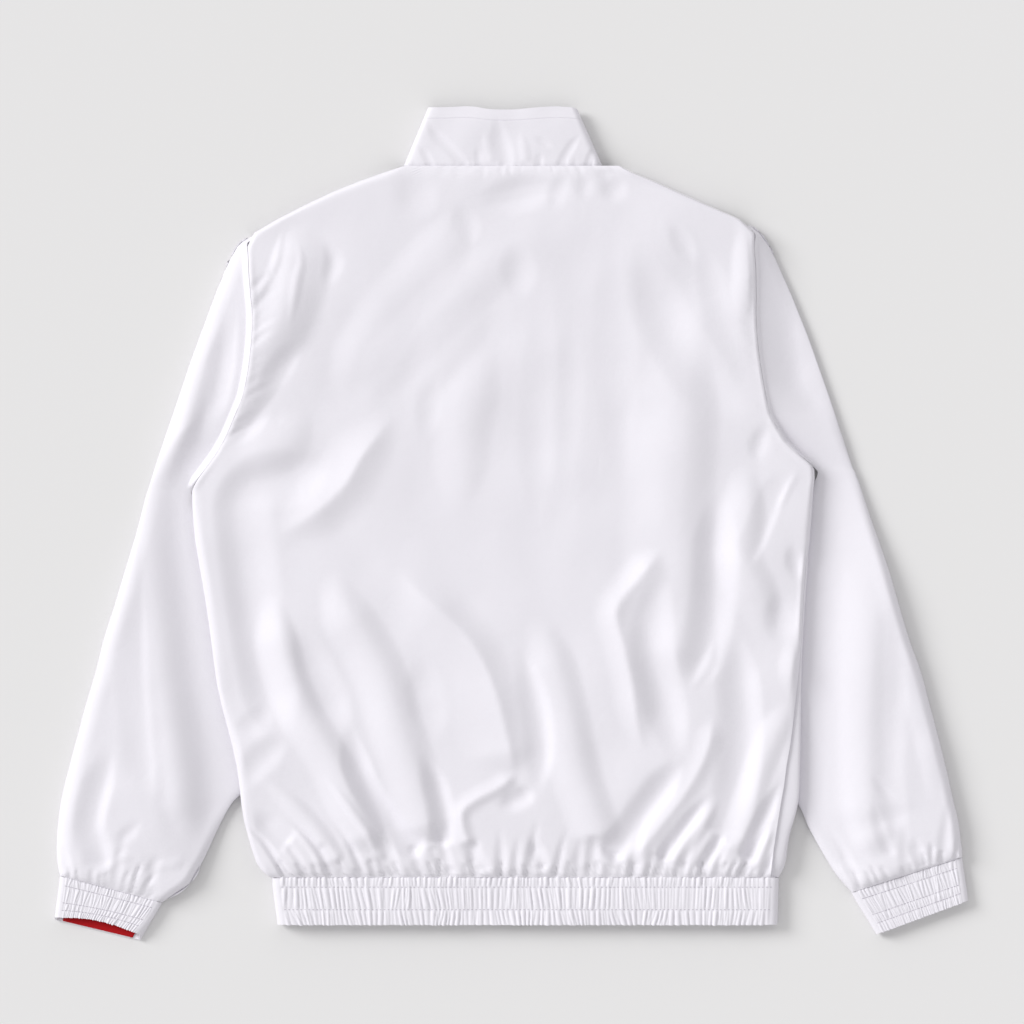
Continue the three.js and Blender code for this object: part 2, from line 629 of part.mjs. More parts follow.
function hemBand() {
  const grid = HEM_ROWS.map(hemRow);
  const first = 3 + HEM_UNDER.length + 6;
  const pleated = (j) => j > first && j < first + 2 * HEM_PLEATS;
  const relief = (i, j) => (pleated(j) ? pleat(j - first, HEM_ROWS[i].deep) : 0);
  return cloth({ grid, wall: BAND_WALL, out: -1, relief });
}

// Cuffs: left and right ends of the upper layer at each row, then of the lower layer.
const CUFFS = {
  left: table(
    ["leftX", "leftY", "rightX", "rightY", "lowLeftY", "lowRightY", "deep"],
    [
      [-420.2, -327.9, -325.2, -352.8, -327.9, -352.8, 0.9],
      [-421.3, -338, -329.5, -360.5, -338, -360.5, 0.4],
      [-423.5, -354, -337, -372, -355.5, -373, 1.0],
      [-425, -366.5, -345.5, -382.5, -369, -388, 0.7],
    ],
  ),
  right: table(
    ["leftX", "leftY", "rightX", "rightY", "lowLeftY", "lowRightY", "deep"],
    [
      [316.2, -343.4, 419.3, -310.7, -343.4, -310.7, 0.9],
      [321.7, -353, 420.8, -321, -353, -321, 0.4],
      [331, -368, 423, -336, -368, -336, 1.0],
      [339.5, -382, 425, -350.5, -382.3, -350.8, 0.7],
    ],
  ),
};
const CUFF_PLEATS = 22;
const CUFF_TURN = 4.6;
const CUFF_DIP = [0, 0.5, 2.2, 5.5]; // the left mouth's upper edge falls short of a straight line
const CUFF_UNDER = [0.93, 0.6, 0.3]; // columns beneath, from the cuff's own joint by its inner edge

function cuffRow(side, row, i) {
  const { leftX, leftY, rightX, rightY, lowLeftY, lowRightY } = row;
  const width = rightX - leftX;
  const line = [];
  const half = CUFF_HEIGHT / 2;
  const at = (x, z, low) => {
    const share = (x - leftX) / width;
    const dip = side === "left" && !low ? CUFF_DIP[i] * Math.sin(Math.PI * share) : 0;
    const y = low ? mix(lowLeftY, lowRightY, share) : mix(leftY, rightY, share) + dip;
    line.push(point(x, y, z));
  };
  const turnAt = (x, away, degrees) => {
    const turn = (degrees * Math.PI) / 180;
    at(x + away * CUFF_TURN * (Math.cos(turn) - 1), half + half * Math.sin(turn), degrees < 0);
  };
  const [from, to] = [leftX + CUFF_TURN, rightX - CUFF_TURN];
  const under = CUFF_UNDER.map((share) => (side === "left" ? share : 1 - share));
  const upTurns = [-90, ...[...TURN_STEPS].reverse()];
  const downTurns = [...TURN_STEPS, -90];
  if (side === "left") {
    under.forEach((share, k) => at(mix(from, to, share) - (k ? 0 : GAP), 0, true));
    upTurns.forEach((degrees) => turnAt(leftX, -1, degrees));
    for (let k = 0; k <= 2 * CUFF_PLEATS; k++) at(mix(from, to, k / (2 * CUFF_PLEATS)), CUFF_HEIGHT);
    downTurns.forEach((degrees) => turnAt(rightX, 1, degrees));
    at(mix(from, to, under[0]) + GAP, 0, true);
    return line;
  }
  under.forEach((share, k) => at(mix(from, to, share) + (k ? 0 : GAP), 0, true));
  upTurns.forEach((degrees) => turnAt(rightX, 1, degrees));
  for (let k = 0; k <= 2 * CUFF_PLEATS; k++) at(mix(to, from, k / (2 * CUFF_PLEATS)), CUFF_HEIGHT);
  downTurns.forEach((degrees) => turnAt(leftX, -1, degrees));
  at(mix(from, to, under[0]) - GAP, 0, true);
  return line;
}

function cuff(side) {
  const rows = CUFFS[side];
  const grid = rows.map((row, i) => cuffRow(side, row, i));
  const first = 3 + 6;
  const pleated = (j) => j > first && j < first + 2 * CUFF_PLEATS;
  const relief = (i, j) => (pleated(j) ? pleat(j - first, rows[i].deep) : 0);
  return cloth({ grid, wall: BAND_WALL, out: side === "left" ? -1 : 1, relief });
}

// The red lining on the lower layer of the left cuff, from its mouth up into the sleeve.
function cuffLining() {
  const shares = [0.04, 0.2, 0.4, 0.6, 0.8, 0.96];
  const rows = CUFFS.left.slice(1).map((row, i, all) => {
    const inset = i === all.length - 1 ? 0.8 : 0;
    return shares.map((share) => {
      const x = mix(row.leftX + CUFF_TURN, row.rightX - CUFF_TURN, share);
      const along = (x - row.leftX) / (row.rightX - row.leftX);
      return point(x, mix(row.lowLeftY, row.lowRightY, along) + inset, BAND_WALL + GAP + LINING_WALL);
    });
  });
  return cloth({ grid: rows, wall: LINING_WALL, out: "up" });
}

// Collar: columns round the neck from the zip, over the left end, across the back and
// back under the right end; base point and top point of each, with their heights.
const COLLAR = table(
  ["baseX", "baseY", "baseZ", "topX", "topY", "topZ"],
  [
    [-1, 262.4, 4.8, -1, 317, 4.8],
    [-14, 265, 3.2, -9, 319, 3.2],
    [-41.5, 270.6, 0, -25, 325, 0],
    [-80.4, 296.6, 0, -50, 342, 0],
    [-94.7, 318.6, 0, -62, 360, 0],
    [-96.5, 328, 0.4, -71.5, 380, 0.4],
    [-98.8, 331.5, 3, -76, 385, 3],
    [-100, 332.9, 7, -77.6, 386.6, 6.6],
    [-98.8, 332.9, 11, -76.4, 386.9, 10.4],
    [-94, 332.9, 14, -72, 387, 12.8],
    [-75, 332.9, 14.5, -58, 387.2, 13.2],
    [-48, 332.9, 14.8, -38, 387.9, 13.4],
    [-23, 332.9, 15, -20, 385.3, 13.6],
    [2, 332.9, 15, 1, 385, 13.6],
    [27, 332.9, 15, 20, 386.6, 13.6],
    [50, 332.9, 14.6, 40, 387.9, 13.4],
    [70, 332.9, 14.2, 52, 387.2, 13],
    [79, 332.9, 13.8, 57, 386.8, 12.6],
    [83.4, 332.9, 10.8, 60.4, 385.8, 10],
    [84.6, 332.9, 6.8, 61.4, 384.8, 6.2],
    [84.4, 331.5, 2.8, 60.4, 383, 2.8],
    [85.4, 328, 0.4, 58, 378, 0.4],
    [87.7, 318.6, 0, 56, 359, 0],
    [82.4, 296.6, 0, 52, 342, 0],
    [51.5, 270.6, 0, 33, 325, 0],
    [24, 265, 3.2, 19, 319, 3.2],
    [11, 262.4, 4.8, 11, 317, 4.8],
  ],
);
const BAND_FROM = 0.78; // share of the collar's height where its narrow top band starts

function collarStrip(from, to, gapShare) {
  const shares = [from + gapShare, mix(from, to, 0.5), to];
  const grid = shares.map((share) =>
    COLLAR.map((c) =>
      point(mix(c.baseX, c.topX, share), mix(c.baseY, c.topY, share), mix(c.baseZ, c.topZ, share)),
    ),
  );
  return cloth({ grid, wall: COLLAR_WALL, out: 1 });
}

// Zip: each chain half is a tape with a bead of teeth along its edge.
const ZIP_TOP = 309;
const ZIP_BOTTOM = -366;
const TAPE_WIDTH = 11;
const BEAD = { from: 0.15, width: 2.4, low: 4.9, high: 7.9 };
const TAPE = { low: 6.9, high: 7.6 };

function zipHalf(side) {
  const away = SIGN[side];
  const beadEnd = BEAD.from + BEAD.width;
  const profile = [
    [BEAD.from, BEAD.low],
    [beadEnd, BEAD.low],
    [beadEnd, TAPE.low],
    [beadEnd + TAPE_WIDTH, TAPE.low],
    [beadEnd + TAPE_WIDTH, TAPE.high],
    [beadEnd, TAPE.high],
    [beadEnd, BEAD.high],
    [BEAD.from, BEAD.high],
  ];
  const shape = new THREE.Shape(profile.map(([d, z]) => new THREE.Vector2(away * d, z)));
  const geometry = new THREE.ExtrudeGeometry(shape, { depth: ZIP_TOP - ZIP_BOTTOM, bevelEnabled: false });
  // The shape's axes become X and Z, its depth runs along -Y.
  return geometry.applyMatrix4(new THREE.Matrix4().set(1, 0, 0, ZIP_X, 0, 0, -1, ZIP_TOP, 0, 1, 0, 0, 0, 0, 0, 1));
}

const wasm = await Module();
wasm.setup();

// A block as a solid from its lowest corner to its highest.
const block = (low, high) =>
  wasm.Manifold.cube(high.map((v, k) => v - low[k])).translate(low);

function geometryFromSolid(solid) {
  const { vertProperties, triVerts, numProp } = solid.getMesh();
  const points = [];
  for (let i = 0; i < vertProperties.length; i += numProp)
    points.push(point(...vertProperties.slice(i, i + 3)));
  const faces = [];
  for (let i = 0; i < triVerts.length; i += 3) faces.push([...triVerts.slice(i, i + 3)]);
  return geometryOf(points, faces);
}

// Slider: two plates round the chain, joined past its upper end, and a bail for the pull.
const SLIDER = { half: 4.5, top: 313, bottom: 299.5, neck: 309.5 };
const PLATE = { outer: [3.6, 4.6], inner: [8.2, 9.2] };
const BAIL = { half: 1.3, from: 300.5, to: 310.5, low: 0.3, thick: 1, leg: 1.5 };
const PIVOT = { y: 305.5, z: 2.45 };
const PULL = { half: 0.75, slotHalf: 1.7, width: 3.4, slotEnd: 298, end: 273 };

function zipSlider() {
  const { half, top, bottom, neck } = SLIDER;
  const [x0, x1] = [ZIP_X - half, ZIP_X + half];
  const plate = ([low, high]) => block([x0, bottom, low], [x1, top, high]);
  const bail = block([ZIP_X - BAIL.half, BAIL.from, BAIL.low], [ZIP_X + BAIL.half, BAIL.to, PLATE.outer[1]]);
  const hole = block(
    [ZIP_X - BAIL.half - 1, BAIL.from + BAIL.leg, BAIL.low + BAIL.thick],
    [ZIP_X + BAIL.half + 1, BAIL.to - BAIL.leg, PLATE.outer[0]],
  );
  return plate(PLATE.outer)
    .add(plate(PLATE.inner))
    .add(block([x0, neck, PLATE.outer[0]], [x1, top, PLATE.inner[1]]))
    .add(bail.subtract(hole));
}

// Pull tab: a flat tab whose end bar turns inside the bail.
function zipPull() {
  const { half, slotHalf, width, slotEnd, end } = PULL;
  const [low, high] = [PIVOT.z - half, PIVOT.z + half];
  const tab = block([ZIP_X - width, end, low], [ZIP_X + width, PIVOT.y + half, high]);
  const slot = block([ZIP_X - slotHalf, slotEnd, low - 1], [ZIP_X + slotHalf, PIVOT.y - half, high + 1]);
  return tab.subtract(slot);
}

const ZIP_BOX = { half: 3.5, bottom: -372.6, low: 4.6, high: 8.2 };
const zipBox = () =>
  block([ZIP_X - ZIP_BOX.half, ZIP_BOX.bottom, ZIP_BOX.low], [ZIP_X + ZIP_BOX.half, ZIP_BOTTOM - GAP, ZIP_BOX.high]);

const jacket = new THREE.Group();
jacket.name = "windbreaker_jacket";

const WHITE = { color: 0xefedf1, roughness: 0.62, metalness: 0 };
const RED = { color: 0xa3182c, roughness: 0.6, metalness: 0 };
const METAL = { color: 0xb9bbc0, roughness: 0.35, metalness: 1 };
const GREY = { color: 0xd9d8dc, roughness: 0.5, metalness: 0 };
function add(name, geometry, finish) {
  const mesh = new THREE.Mesh(geometry, new THREE.MeshStandardMaterial(finish));
  mesh.name = name;
  jacket.add(mesh);
}

add("back_panel", backPanel(), WHITE);
add("front_left", front("left"), WHITE);
add("front_right", front("right"), WHITE);
add("sleeve_left", sleeve("left"), WHITE);
add("sleeve_right", sleeve("right"), WHITE);
add("hem_band", hemBand(), WHITE);
add("cuff_left", cuff("left"), WHITE);
add("cuff_right", cuff("right"), WHITE);
add("cuff_lining_left", cuffLining(), RED);
add("collar", collarStrip(0, BAND_FROM, 0), WHITE);
add("collar_band", collarStrip(BAND_FROM, 1, 0.014), WHITE);
add("zip_left", zipHalf("left"), GREY);
add("zip_right", zipHalf("right"), GREY);
add("zip_slider", geometryFromSolid(zipSlider()), METAL);
add("zip_pull", geometryFromSolid(zipPull()), METAL);
add("zip_box", geometryFromSolid(zipBox()), METAL);

export default jacket;
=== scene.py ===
"""A white windbreaker laid on its front, its sleeves folded down beneath its sides."""

import math
from collections import namedtuple

import bmesh
import bpy
import numpy as np
from mathutils import Matrix, Vector


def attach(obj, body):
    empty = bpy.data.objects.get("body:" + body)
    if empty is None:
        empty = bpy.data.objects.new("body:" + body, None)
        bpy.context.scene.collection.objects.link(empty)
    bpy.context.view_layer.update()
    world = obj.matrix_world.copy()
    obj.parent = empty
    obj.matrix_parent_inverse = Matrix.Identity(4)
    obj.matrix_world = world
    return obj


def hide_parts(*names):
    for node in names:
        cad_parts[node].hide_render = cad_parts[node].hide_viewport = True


bl_info = {
    "name": "Laid windbreaker",
    "version": (1, 0, 0),
    "blender": (4, 5, 0),
    "location": "3D View > Sidebar > Jacket",
    "description": "Models a windbreaker that lies on its front, with its stage",
    "category": "Add Mesh",
}

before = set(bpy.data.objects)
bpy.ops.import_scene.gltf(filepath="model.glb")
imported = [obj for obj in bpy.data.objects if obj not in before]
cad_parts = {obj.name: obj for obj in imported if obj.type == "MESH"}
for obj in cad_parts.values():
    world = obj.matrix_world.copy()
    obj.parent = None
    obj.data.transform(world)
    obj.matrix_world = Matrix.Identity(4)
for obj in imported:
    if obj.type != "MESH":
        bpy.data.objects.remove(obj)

BODY = "jacket"
MM = 0.001

# Sizes in millimetres, X to the right, Y to the collar and Z up as the jacket lies
NECK_Y = 332.5
HEM_Y = -329
UNDERARM = {"left": 31, "right": 52}
SHOULDER_END = {"left": 258, "right": 270}
SIGN = {"left": -1, "right": 1}
SHELL_WALL = 1.2
GAP = 0.3
LAP_GAP = 0.5

# Heights above the ground, of surfaces and of their edges
BACK_HEIGHT = 19
NECK_HEIGHT = 15.4
SHOULDER_HEIGHT = 12
ARMHOLE_HEIGHT = {"left": 17.4, "right": 17.2}
SIDE_HEIGHT = 13
HEM_HEIGHT = 13
CUFF_HEIGHT = 9.5
SLEEVE_HEIGHT = 15.5
UPPER_SLEEVE = {"left": 14.5, "right": 5.4}
SLEEVE_UNDER_BODY = 6.4
SLEEVE_EDGE = 4.8
SLEEVE_SEAM = 4.2
FRONT_OVER_SLEEVE = 7

# Widths over which a surface rounds down to its edge
NECK_ROLL = 12
SHOULDER_ROLL = {"left": 4, "right": 2.2}
ARMHOLE_ROLL = {"left": 5, "right": 1.8}
SIDE_ROLL = {"left": 9, "right": 4.8}
HEM_ROLL = 18
SLEEVE_ROLL = {"left": 16, "right": 9}
CUFF_ROLL = 13
INNER_ROLL = 8
BOTTOM_ROLL = 8

# The right side seam lies higher where the front shows beside it
SIDE_RISE = 6
SEAM_RISE_WIDTH = 14

# The back is raised along its left armhole: how much, between which y, and how far in at each y
ARMHOLE_LIFT = 8.5
LIFT_FROM, LIFT_FULL = 66, 136
LIFT_FALLS, LIFT_TO = 208, 270
LIFT_REACH = ((90, 18), (150, 42), (200, 64), (250, 88), (290, 70))
LIFT_CREST, LIFT_FOOT = 1.6, 1.5
LIFT_BESIDE, LIFT_ON_SLEEVE = 0.55, 0.3

# How a sleeve's upper layer comes out from beneath the body, or leaves its armhole seam
BODY_CLEAR = {"left": (10, 84), "right": (14, 96)}
ARMHOLE_VALLEY = {"left": 13, "right": 17}
VALLEY_CLEAR = {"left": (6, 30), "right": (-14, 38)}
ARMHOLE_BLEND = 85
UPPER_BLEND = 170
UNDERARM_BLEND = 34
ARMHOLE_LIP = {"left": 6.5, "right": 3.5}
LIP_START = 14
LIP_EDGE = 8

# The fronts beneath: over the sleeves, by the armholes and along the zip
SLEEVE_CLEAR = (14, 36)
ARMHOLE_CUT = 12
UNDERARM_RISE = 35
HIDDEN_LAP = 1
ZIP_X = 5
ZIP_HALF_GAP = 6
ZIP_LIFT = 4.8
ZIP_LIFT_WIDTH = 34
ZIP_FLAT = 4

# Outline of the body: y, left edge, right edge, edge of the right front where it shows
OUTLINE = np.array([
    (332.5, -99.7, 101, 100), (326, -119.5, 113.5, 112), (318, -142, 133, 132), (308, -167, 155, 154),
    (296, -192, 182, 181), (283, -217.5, 212.5, 211), (270, -239.5, 226, 225), (258, -245.3, 225.5, 225),
    (247, -244.3, 226.2, 225), (236, -244, 227, 226), (212, -242, 227.3, 226), (196, -240.4, 227.2, 226),
    (180, -240.5, 227.9, 227), (164, -241.7, 229.2, 228), (148, -243.5, 231.3, 230),
    (132, -246.2, 233.9, 233), (117, -249.5, 236.8, 236), (103, -255.5, 239.6, 239),
    (90, -261, 245.9, 245), (77, -267, 253.8, 253), (64, -274.6, 267, 266), (52, -283.3, 281.5, 280.5),
    (41, -291.7, 281.9, 281), (31, -297, 280.6, 279.6), (16, -296.6, 279.6, 278.6),
    (0, -295.6, 278.5, 277.7), (-17, -294, 277.2, 277.2), (-36, -290.7, 273.5, 275.7),
    (-55, -287.4, 272, 274), (-74, -284.2, 270.7, 273), (-93, -281.4, 269.9, 271.7),
    (-112, -278.8, 269.1, 270.8), (-131, -276.4, 267.6, 270), (-150, -273.6, 265.6, 269.4),
    (-169, -269.5, 263.4, 269), (-188, -264.4, 261.3, 268.8), (-207, -259.4, 258.8, 268.5),
    (-225, -255.6, 255.5, 267.8), (-243, -253, 253.3, 266.9), (-260, -251.2, 250.3, 265.8),
    (-276, -248.8, 247.7, 262.5), (-291, -244.8, 245.4, 258), (-305, -240.7, 243.3, 255.9),
    (-316, -236.8, 241.9, 254.4), (-324, -231, 241.2, 250.7), (-329, -223.5, 240.8, 248.6),
])
COLUMN = {"left": 1, "right": 2}
FRONT_COLUMN = 3

# Sleeves from the shoulder to the cuff: the outer fold, then the inner end of the upper layer
SLEEVES = {
    "left": np.array([
        (-243, 266.5, -231, 266.5), (-250.2, 262.3, -243.5, 262.3), (-254.8, 258, -245.3, 258),
        (-261.2, 247, -244.3, 247), (-266.4, 236, -244, 236), (-276, 212, -242, 212),
        (-281.9, 196, -240.4, 196), (-287.9, 180, -240.5, 180), (-293.8, 164, -241.7, 164),
        (-299.6, 148, -243.5, 148), (-304.9, 132, -246.2, 132), (-309.9, 117, -249.5, 117),
        (-314.7, 103, -255.5, 103), (-319.2, 90, -261, 90), (-323.6, 77, -267, 77),
        (-328, 64, -274.6, 64), (-331.8, 52, -283.3, 52), (-335.2, 41, -291.7, 41),
        (-338.3, 31, -297, 31), (-340, 26, -296.6, 25), (-342.4, 17, -293, 14), (-350, -12, -276, -18),
        (-361, -48, -250, -56), (-370, -78, -235, -88), (-379.5, -108, -223, -120),
        (-387, -138, -215, -150), (-396, -168, -212, -180), (-404, -198, -219, -212),
        (-412, -228, -236, -240), (-418.5, -255, -258, -258), (-421.8, -278, -272, -282),
        (-423.2, -300, -286, -312), (-422.4, -316, -300, -336), (-420.3, -327.5, -325, -352.4),
    ]),
    "right": np.array([
        (222.5, 277, 216, 277), (231.2, 269.8, 226, 269.8), (239.8, 258, 225.5, 258),
        (245.2, 247, 226.2, 247), (250, 236, 227, 236), (260.6, 212, 227.3, 212),
        (267.1, 196, 227.2, 196), (273.6, 180, 227.9, 180), (279.5, 164, 229.2, 164),
        (285.1, 148, 231.3, 148), (290.8, 132, 233.9, 132), (296, 117, 236.8, 117),
        (300.7, 103, 239.6, 103), (304.9, 90, 245.9, 90), (309.2, 77, 253.8, 77), (313.4, 64, 267, 64),
        (317.5, 52, 281.5, 52), (320, 47, 284.5, 46), (323.4, 38, 279, 34), (334, 6, 258, 0),
        (350, -40, 236, -50), (360, -74, 226, -84), (369.5, -106, 219, -117), (380.5, -137, 216, -150),
        (389, -168, 220, -182), (397, -198, 232, -212), (404.5, -228, 248, -238), (411, -257, 267, -262),
        (415.8, -278, 277, -284), (418.3, -297, 291, -309), (419.4, -306, 303, -328),
        (419.5, -310.3, 316.3, -343),
    ]),
}

# Cross-sections of a fold: how round its crest is, and how softly its foot runs out
ROUND = (2, 2)
CREST = (1.15, 2)
FOOT = (2, 1.15)

# A fold's line runs from the collar to the hem; east and west are its reach to each side
Fold = namedtuple("Fold", "height east west shape line start stop", defaults=(None, None))

BACK_FOLDS = [
    # By the left armhole
    Fold(4.8, 36, 24, ROUND, [(-202, 280), (-200, 250), (-205, 212), (-216, 180), (-234, 148)], 0.25, 0.3),
    Fold(1.3, 5, 7, ROUND, [(-211, 280), (-215, 258), (-221, 236), (-233, 214), (-240, 200)]),
    Fold(1.3, 6, 7, ROUND, [(-200, 268), (-195, 245), (-199, 225), (-203, 200), (-208, 178)]),
    Fold(-1.6, 12, 10, ROUND, [(-176, 262), (-166, 244), (-174, 218)]),
    Fold(-1.8, 14, 14, ROUND, [(-196, 172), (-214, 146), (-236, 118)]),
    Fold(2.4, 32, 28, ROUND, [(-40, 292), (-72, 248), (-104, 212), (-130, 176), (-150, 142), (-160, 112)]),
    Fold(2, 28, 30, ROUND, [(14, 262), (-24, 232), (-62, 200), (-96, 166), (-122, 136), (-142, 108)]),
    Fold(1.5, 26, 28, ROUND, [(-14, 206), (-44, 178), (-76, 140), (-100, 112)]),
    Fold(3, 26, 34, ROUND, [(-196, 112), (-203, 84), (-224, 64), (-262, 50)]),
    Fold(-2.2, 12, 16, ROUND, [(-222, 106), (-242, 92), (-262, 72)]),
    # Across the left of the waist
    Fold(6, 30, 36, CREST, [
        (-108, 104), (-122, 84), (-140, 60), (-154, 36), (-174, 16), (-196, 0), (-222, -14),
    ]),
    Fold(-5, 34, 26, ROUND, [
        (-168, 62), (-196, 48), (-232, 42), (-252, 22), (-252, -5), (-247, -45), (-240, -90),
        (-233, -130), (-223, -170), (-207, -202),
    ], 0.12, 0.15),
    Fold(-1.8, 16, 15, ROUND, [(-222, -168), (-240, -186), (-260, -192)]),
    Fold(-2.6, 16, 18, ROUND, [(-206, -196), (-224, -212), (-240, -228), (-250, -250)]),
    # Lower left
    Fold(5.4, 19, 27, ROUND, [
        (-222, -62), (-217, -95), (-209, -135), (-192, -176), (-170, -212), (-154, -245),
        (-141, -275), (-126, -305),
    ], 0.2),
    Fold(-2.6, 20, 20, ROUND, [(-200, -92), (-184, -130), (-168, -165), (-152, -195)], 0.4, 0.3),
    Fold(-4.6, 11, 17, FOOT, [
        (-152, -186), (-145, -214), (-134, -242), (-116, -270), (-97, -292), (-80, -306),
    ], 0.3),
    Fold(5.6, 25, 32, ROUND, [
        (-166, -44), (-155, -76), (-132, -114), (-116, -148), (-107, -182), (-97, -212),
        (-88, -242), (-79, -270), (-73, -298),
    ], 0.2),
    Fold(-4.4, 13, 15, ROUND, [(-84, -210), (-70, -245), (-64, -275), (-64, -302)]),
    Fold(-2, 22, 20, ROUND, [(-84, -120), (-80, -165), (-68, -205)], 0.4, 0.4),
    Fold(5.8, 26, 50, CREST, [
        (-108, -42), (-82, -68), (-60, -86), (-42, -104), (-28, -125), (-17, -150), (-8, -180),
        (-1, -212), (2, -236),
    ], 0.25, 0.12),
    Fold(-3, 12, 20, ROUND, [(6, -112), (18, -142), (28, -182), (29, -220), (22, -254)], 0.4, 0.3),
    Fold(3.6, 10, 14, CREST, [
        (6, -232), (-12, -246), (-31, -256), (-45, -268), (-44, -285), (-38, -302),
    ], 0.15),
    Fold(-3, 12, 12, ROUND, [(22, -246), (6, -256), (-14, -264)], 0.3, 0.4),
    Fold(-3, 8, 9, ROUND, [(-30, -290), (-34, -306), (-22, -324)]),
    Fold(-3, 9, 9, ROUND, [(20, -290), (24, -306), (30, -322)]),
    Fold(3, 11, 12, ROUND, [(-240, -234), (-216, -250), (-192, -272), (-174, -295), (-160, -318)]),
    Fold(2.2, 6, 7, ROUND, [(-176, -232), (-152, -262), (-132, -290), (-118, -314)]),
    Fold(1.8, 5, 6, ROUND, [(-206, -282), (-186, -300), (-176, -318)]),
    Fold(-2.8, 16, 14, ROUND, [(-238, -264), (-224, -284), (-206, -298)]),
    # Lower right
    Fold(4.6, 22, 30, ROUND, [
        (22, -84), (38, -122), (48, -160), (57, -200), (66, -240), (78, -274), (86, -302),
    ], 0.25),
    Fold(5, 26, 22, CREST, [
        (140, -24), (120, -50), (98, -80), (104, -112), (112, -150), (118, -190), (124, -216),
    ], 0.12),
    Fold(-4.2, 22, 24, ROUND, [
        (140, -44), (134, -80), (132, -115), (138, -150), (148, -188), (156, -224),
    ], 0.3, 0.3),
    Fold(5, 36, 56, ROUND, [
        (165, 200), (163, 140), (158, 60), (155, 0), (155, -60), (157, -110), (160, -156),
    ], 0.3, 0.12),
    Fold(-4.6, 24, 26, ROUND, [(192, 30), (190, -40), (186, -84), (177, -122), (164, -152)], 0.3, 0.15),
    Fold(4.2, 20, 30, ROUND, [(218, 60), (219, 10), (216, -34), (232, -68), (238, -112)]),
    Fold(1.8, 8, 8, ROUND, [(190, -106), (182, -132), (165, -156)]),
    Fold(-4.6, 20, 27, ROUND, [
        (206, -100), (213, -146), (216, -190), (213, -232), (206, -272), (198, -300),
    ], 0.25),
    Fold(3.1, 14, 18, CREST, [
        (188, -178), (184, -205), (174, -230), (158, -256), (138, -282), (112, -314),
    ], 0.15),
    Fold(-5, 14, 20, ROUND, [(158, -218), (142, -244), (124, -268), (106, -294), (88, -314)], 0.3),
    Fold(-4, 8, 9, ROUND, [(188, -248), (172, -268), (154, -292), (138, -316)]),
    Fold(2.8, 8, 8, ROUND, [(194, -252), (180, -276), (162, -300), (150, -318)]),
    Fold(-3.4, 8, 9, ROUND, [(200, -286), (186, -306), (174, -322)]),
    Fold(2.9, 15, 18, ROUND, [
        (258, -166), (244, -196), (232, -226), (222, -256), (212, -284), (203, -312),
    ], 0.2),
    Fold(-4, 11, 10, ROUND, [(254, -236), (240, -262), (228, -286), (216, -314)]),
    Fold(2, 6, 6, ROUND, [(245, -275), (236, -298), (228, -320)]),
    # By the right side
    Fold(-1.6, 7, 18, FOOT, [(258, 50), (248, 28), (240, 8), (230, -16), (219, -38)], 0.3, 0.12),
    Fold(-2, 10, 10, ROUND, [(240, 96), (230, 74), (226, 52)]),
    Fold(0.9, 6, 5, CREST, [(268, 52), (256, 30), (246, 12)], 0.3, 0.2),
    Fold(-2.6, 12, 12, ROUND, [(258, -18), (264, -36), (268, -56)]),
    Fold(-2.4, 18, 20, ROUND, [(250, -60), (251, -88), (254, -116)]),
    Fold(2.2, 12, 16, ROUND, [(262, -105), (262, -130), (260, -160)]),
    # Under the collar
    Fold(-2.9, 41, 41, ROUND, [(4, 327), (8, 305), (12, 286)]),
    Fold(-1.7, 20, 20, ROUND, [(4, 264), (6, 235), (8, 205)]),
    Fold(-1.3, 11, 11, ROUND, [(52, 328), (42, 305), (34, 290)]),
    Fold(-1.1, 10, 10, ROUND, [(70, 328), (68, 314), (66, 298)]),
    Fold(-1.3, 8, 10, ROUND, [(86, 334), (87, 326), (88, 316)]),
    Fold(-2, 14, 17, ROUND, [(106, 323), (97, 312), (84, 299)]),
    Fold(-1.5, 25, 32, ROUND, [(-66, 318), (-92, 304), (-110, 296)]),
    Fold(-1.3, 14, 17, ROUND, [(-50, 300), (-40, 272), (-44, 256)]),
    # Over the middle and the right shoulder
    Fold(-1, 20, 22, ROUND, [(30, 235), (26, 110), (22, -20)], 0.45, 0.45),
    Fold(-0.8, 16, 18, ROUND, [(58, 210), (54, 120), (50, 20)], 0.45, 0.45),
    Fold(-1.1, 22, 26, ROUND, [(98, 300), (98, 160), (104, 20)], 0.45, 0.45),
    Fold(2.6, 26, 32, ROUND, [(-20, 168), (-33, 124), (-42, 84), (-46, 39), (-48, 4)]),
    Fold(-1.1, 14, 16, ROUND, [(-70, 140), (-76, 108), (-80, 75)]),
    Fold(-3, 28, 30, ROUND, [(112, 262), (132, 212), (158, 160), (186, 124), (222, 98)], 0.35, 0.3),
    Fold(-1.8, 18, 20, ROUND, [(176, 262), (190, 215), (200, 175), (222, 140)]),
    Fold(2.8, 13, 17, ROUND, [(216, 288), (219, 250), (218, 215), (214, 180)]),
    Fold(-1.4, 12, 12, ROUND, [(148, 282), (158, 262), (172, 240)]),
]

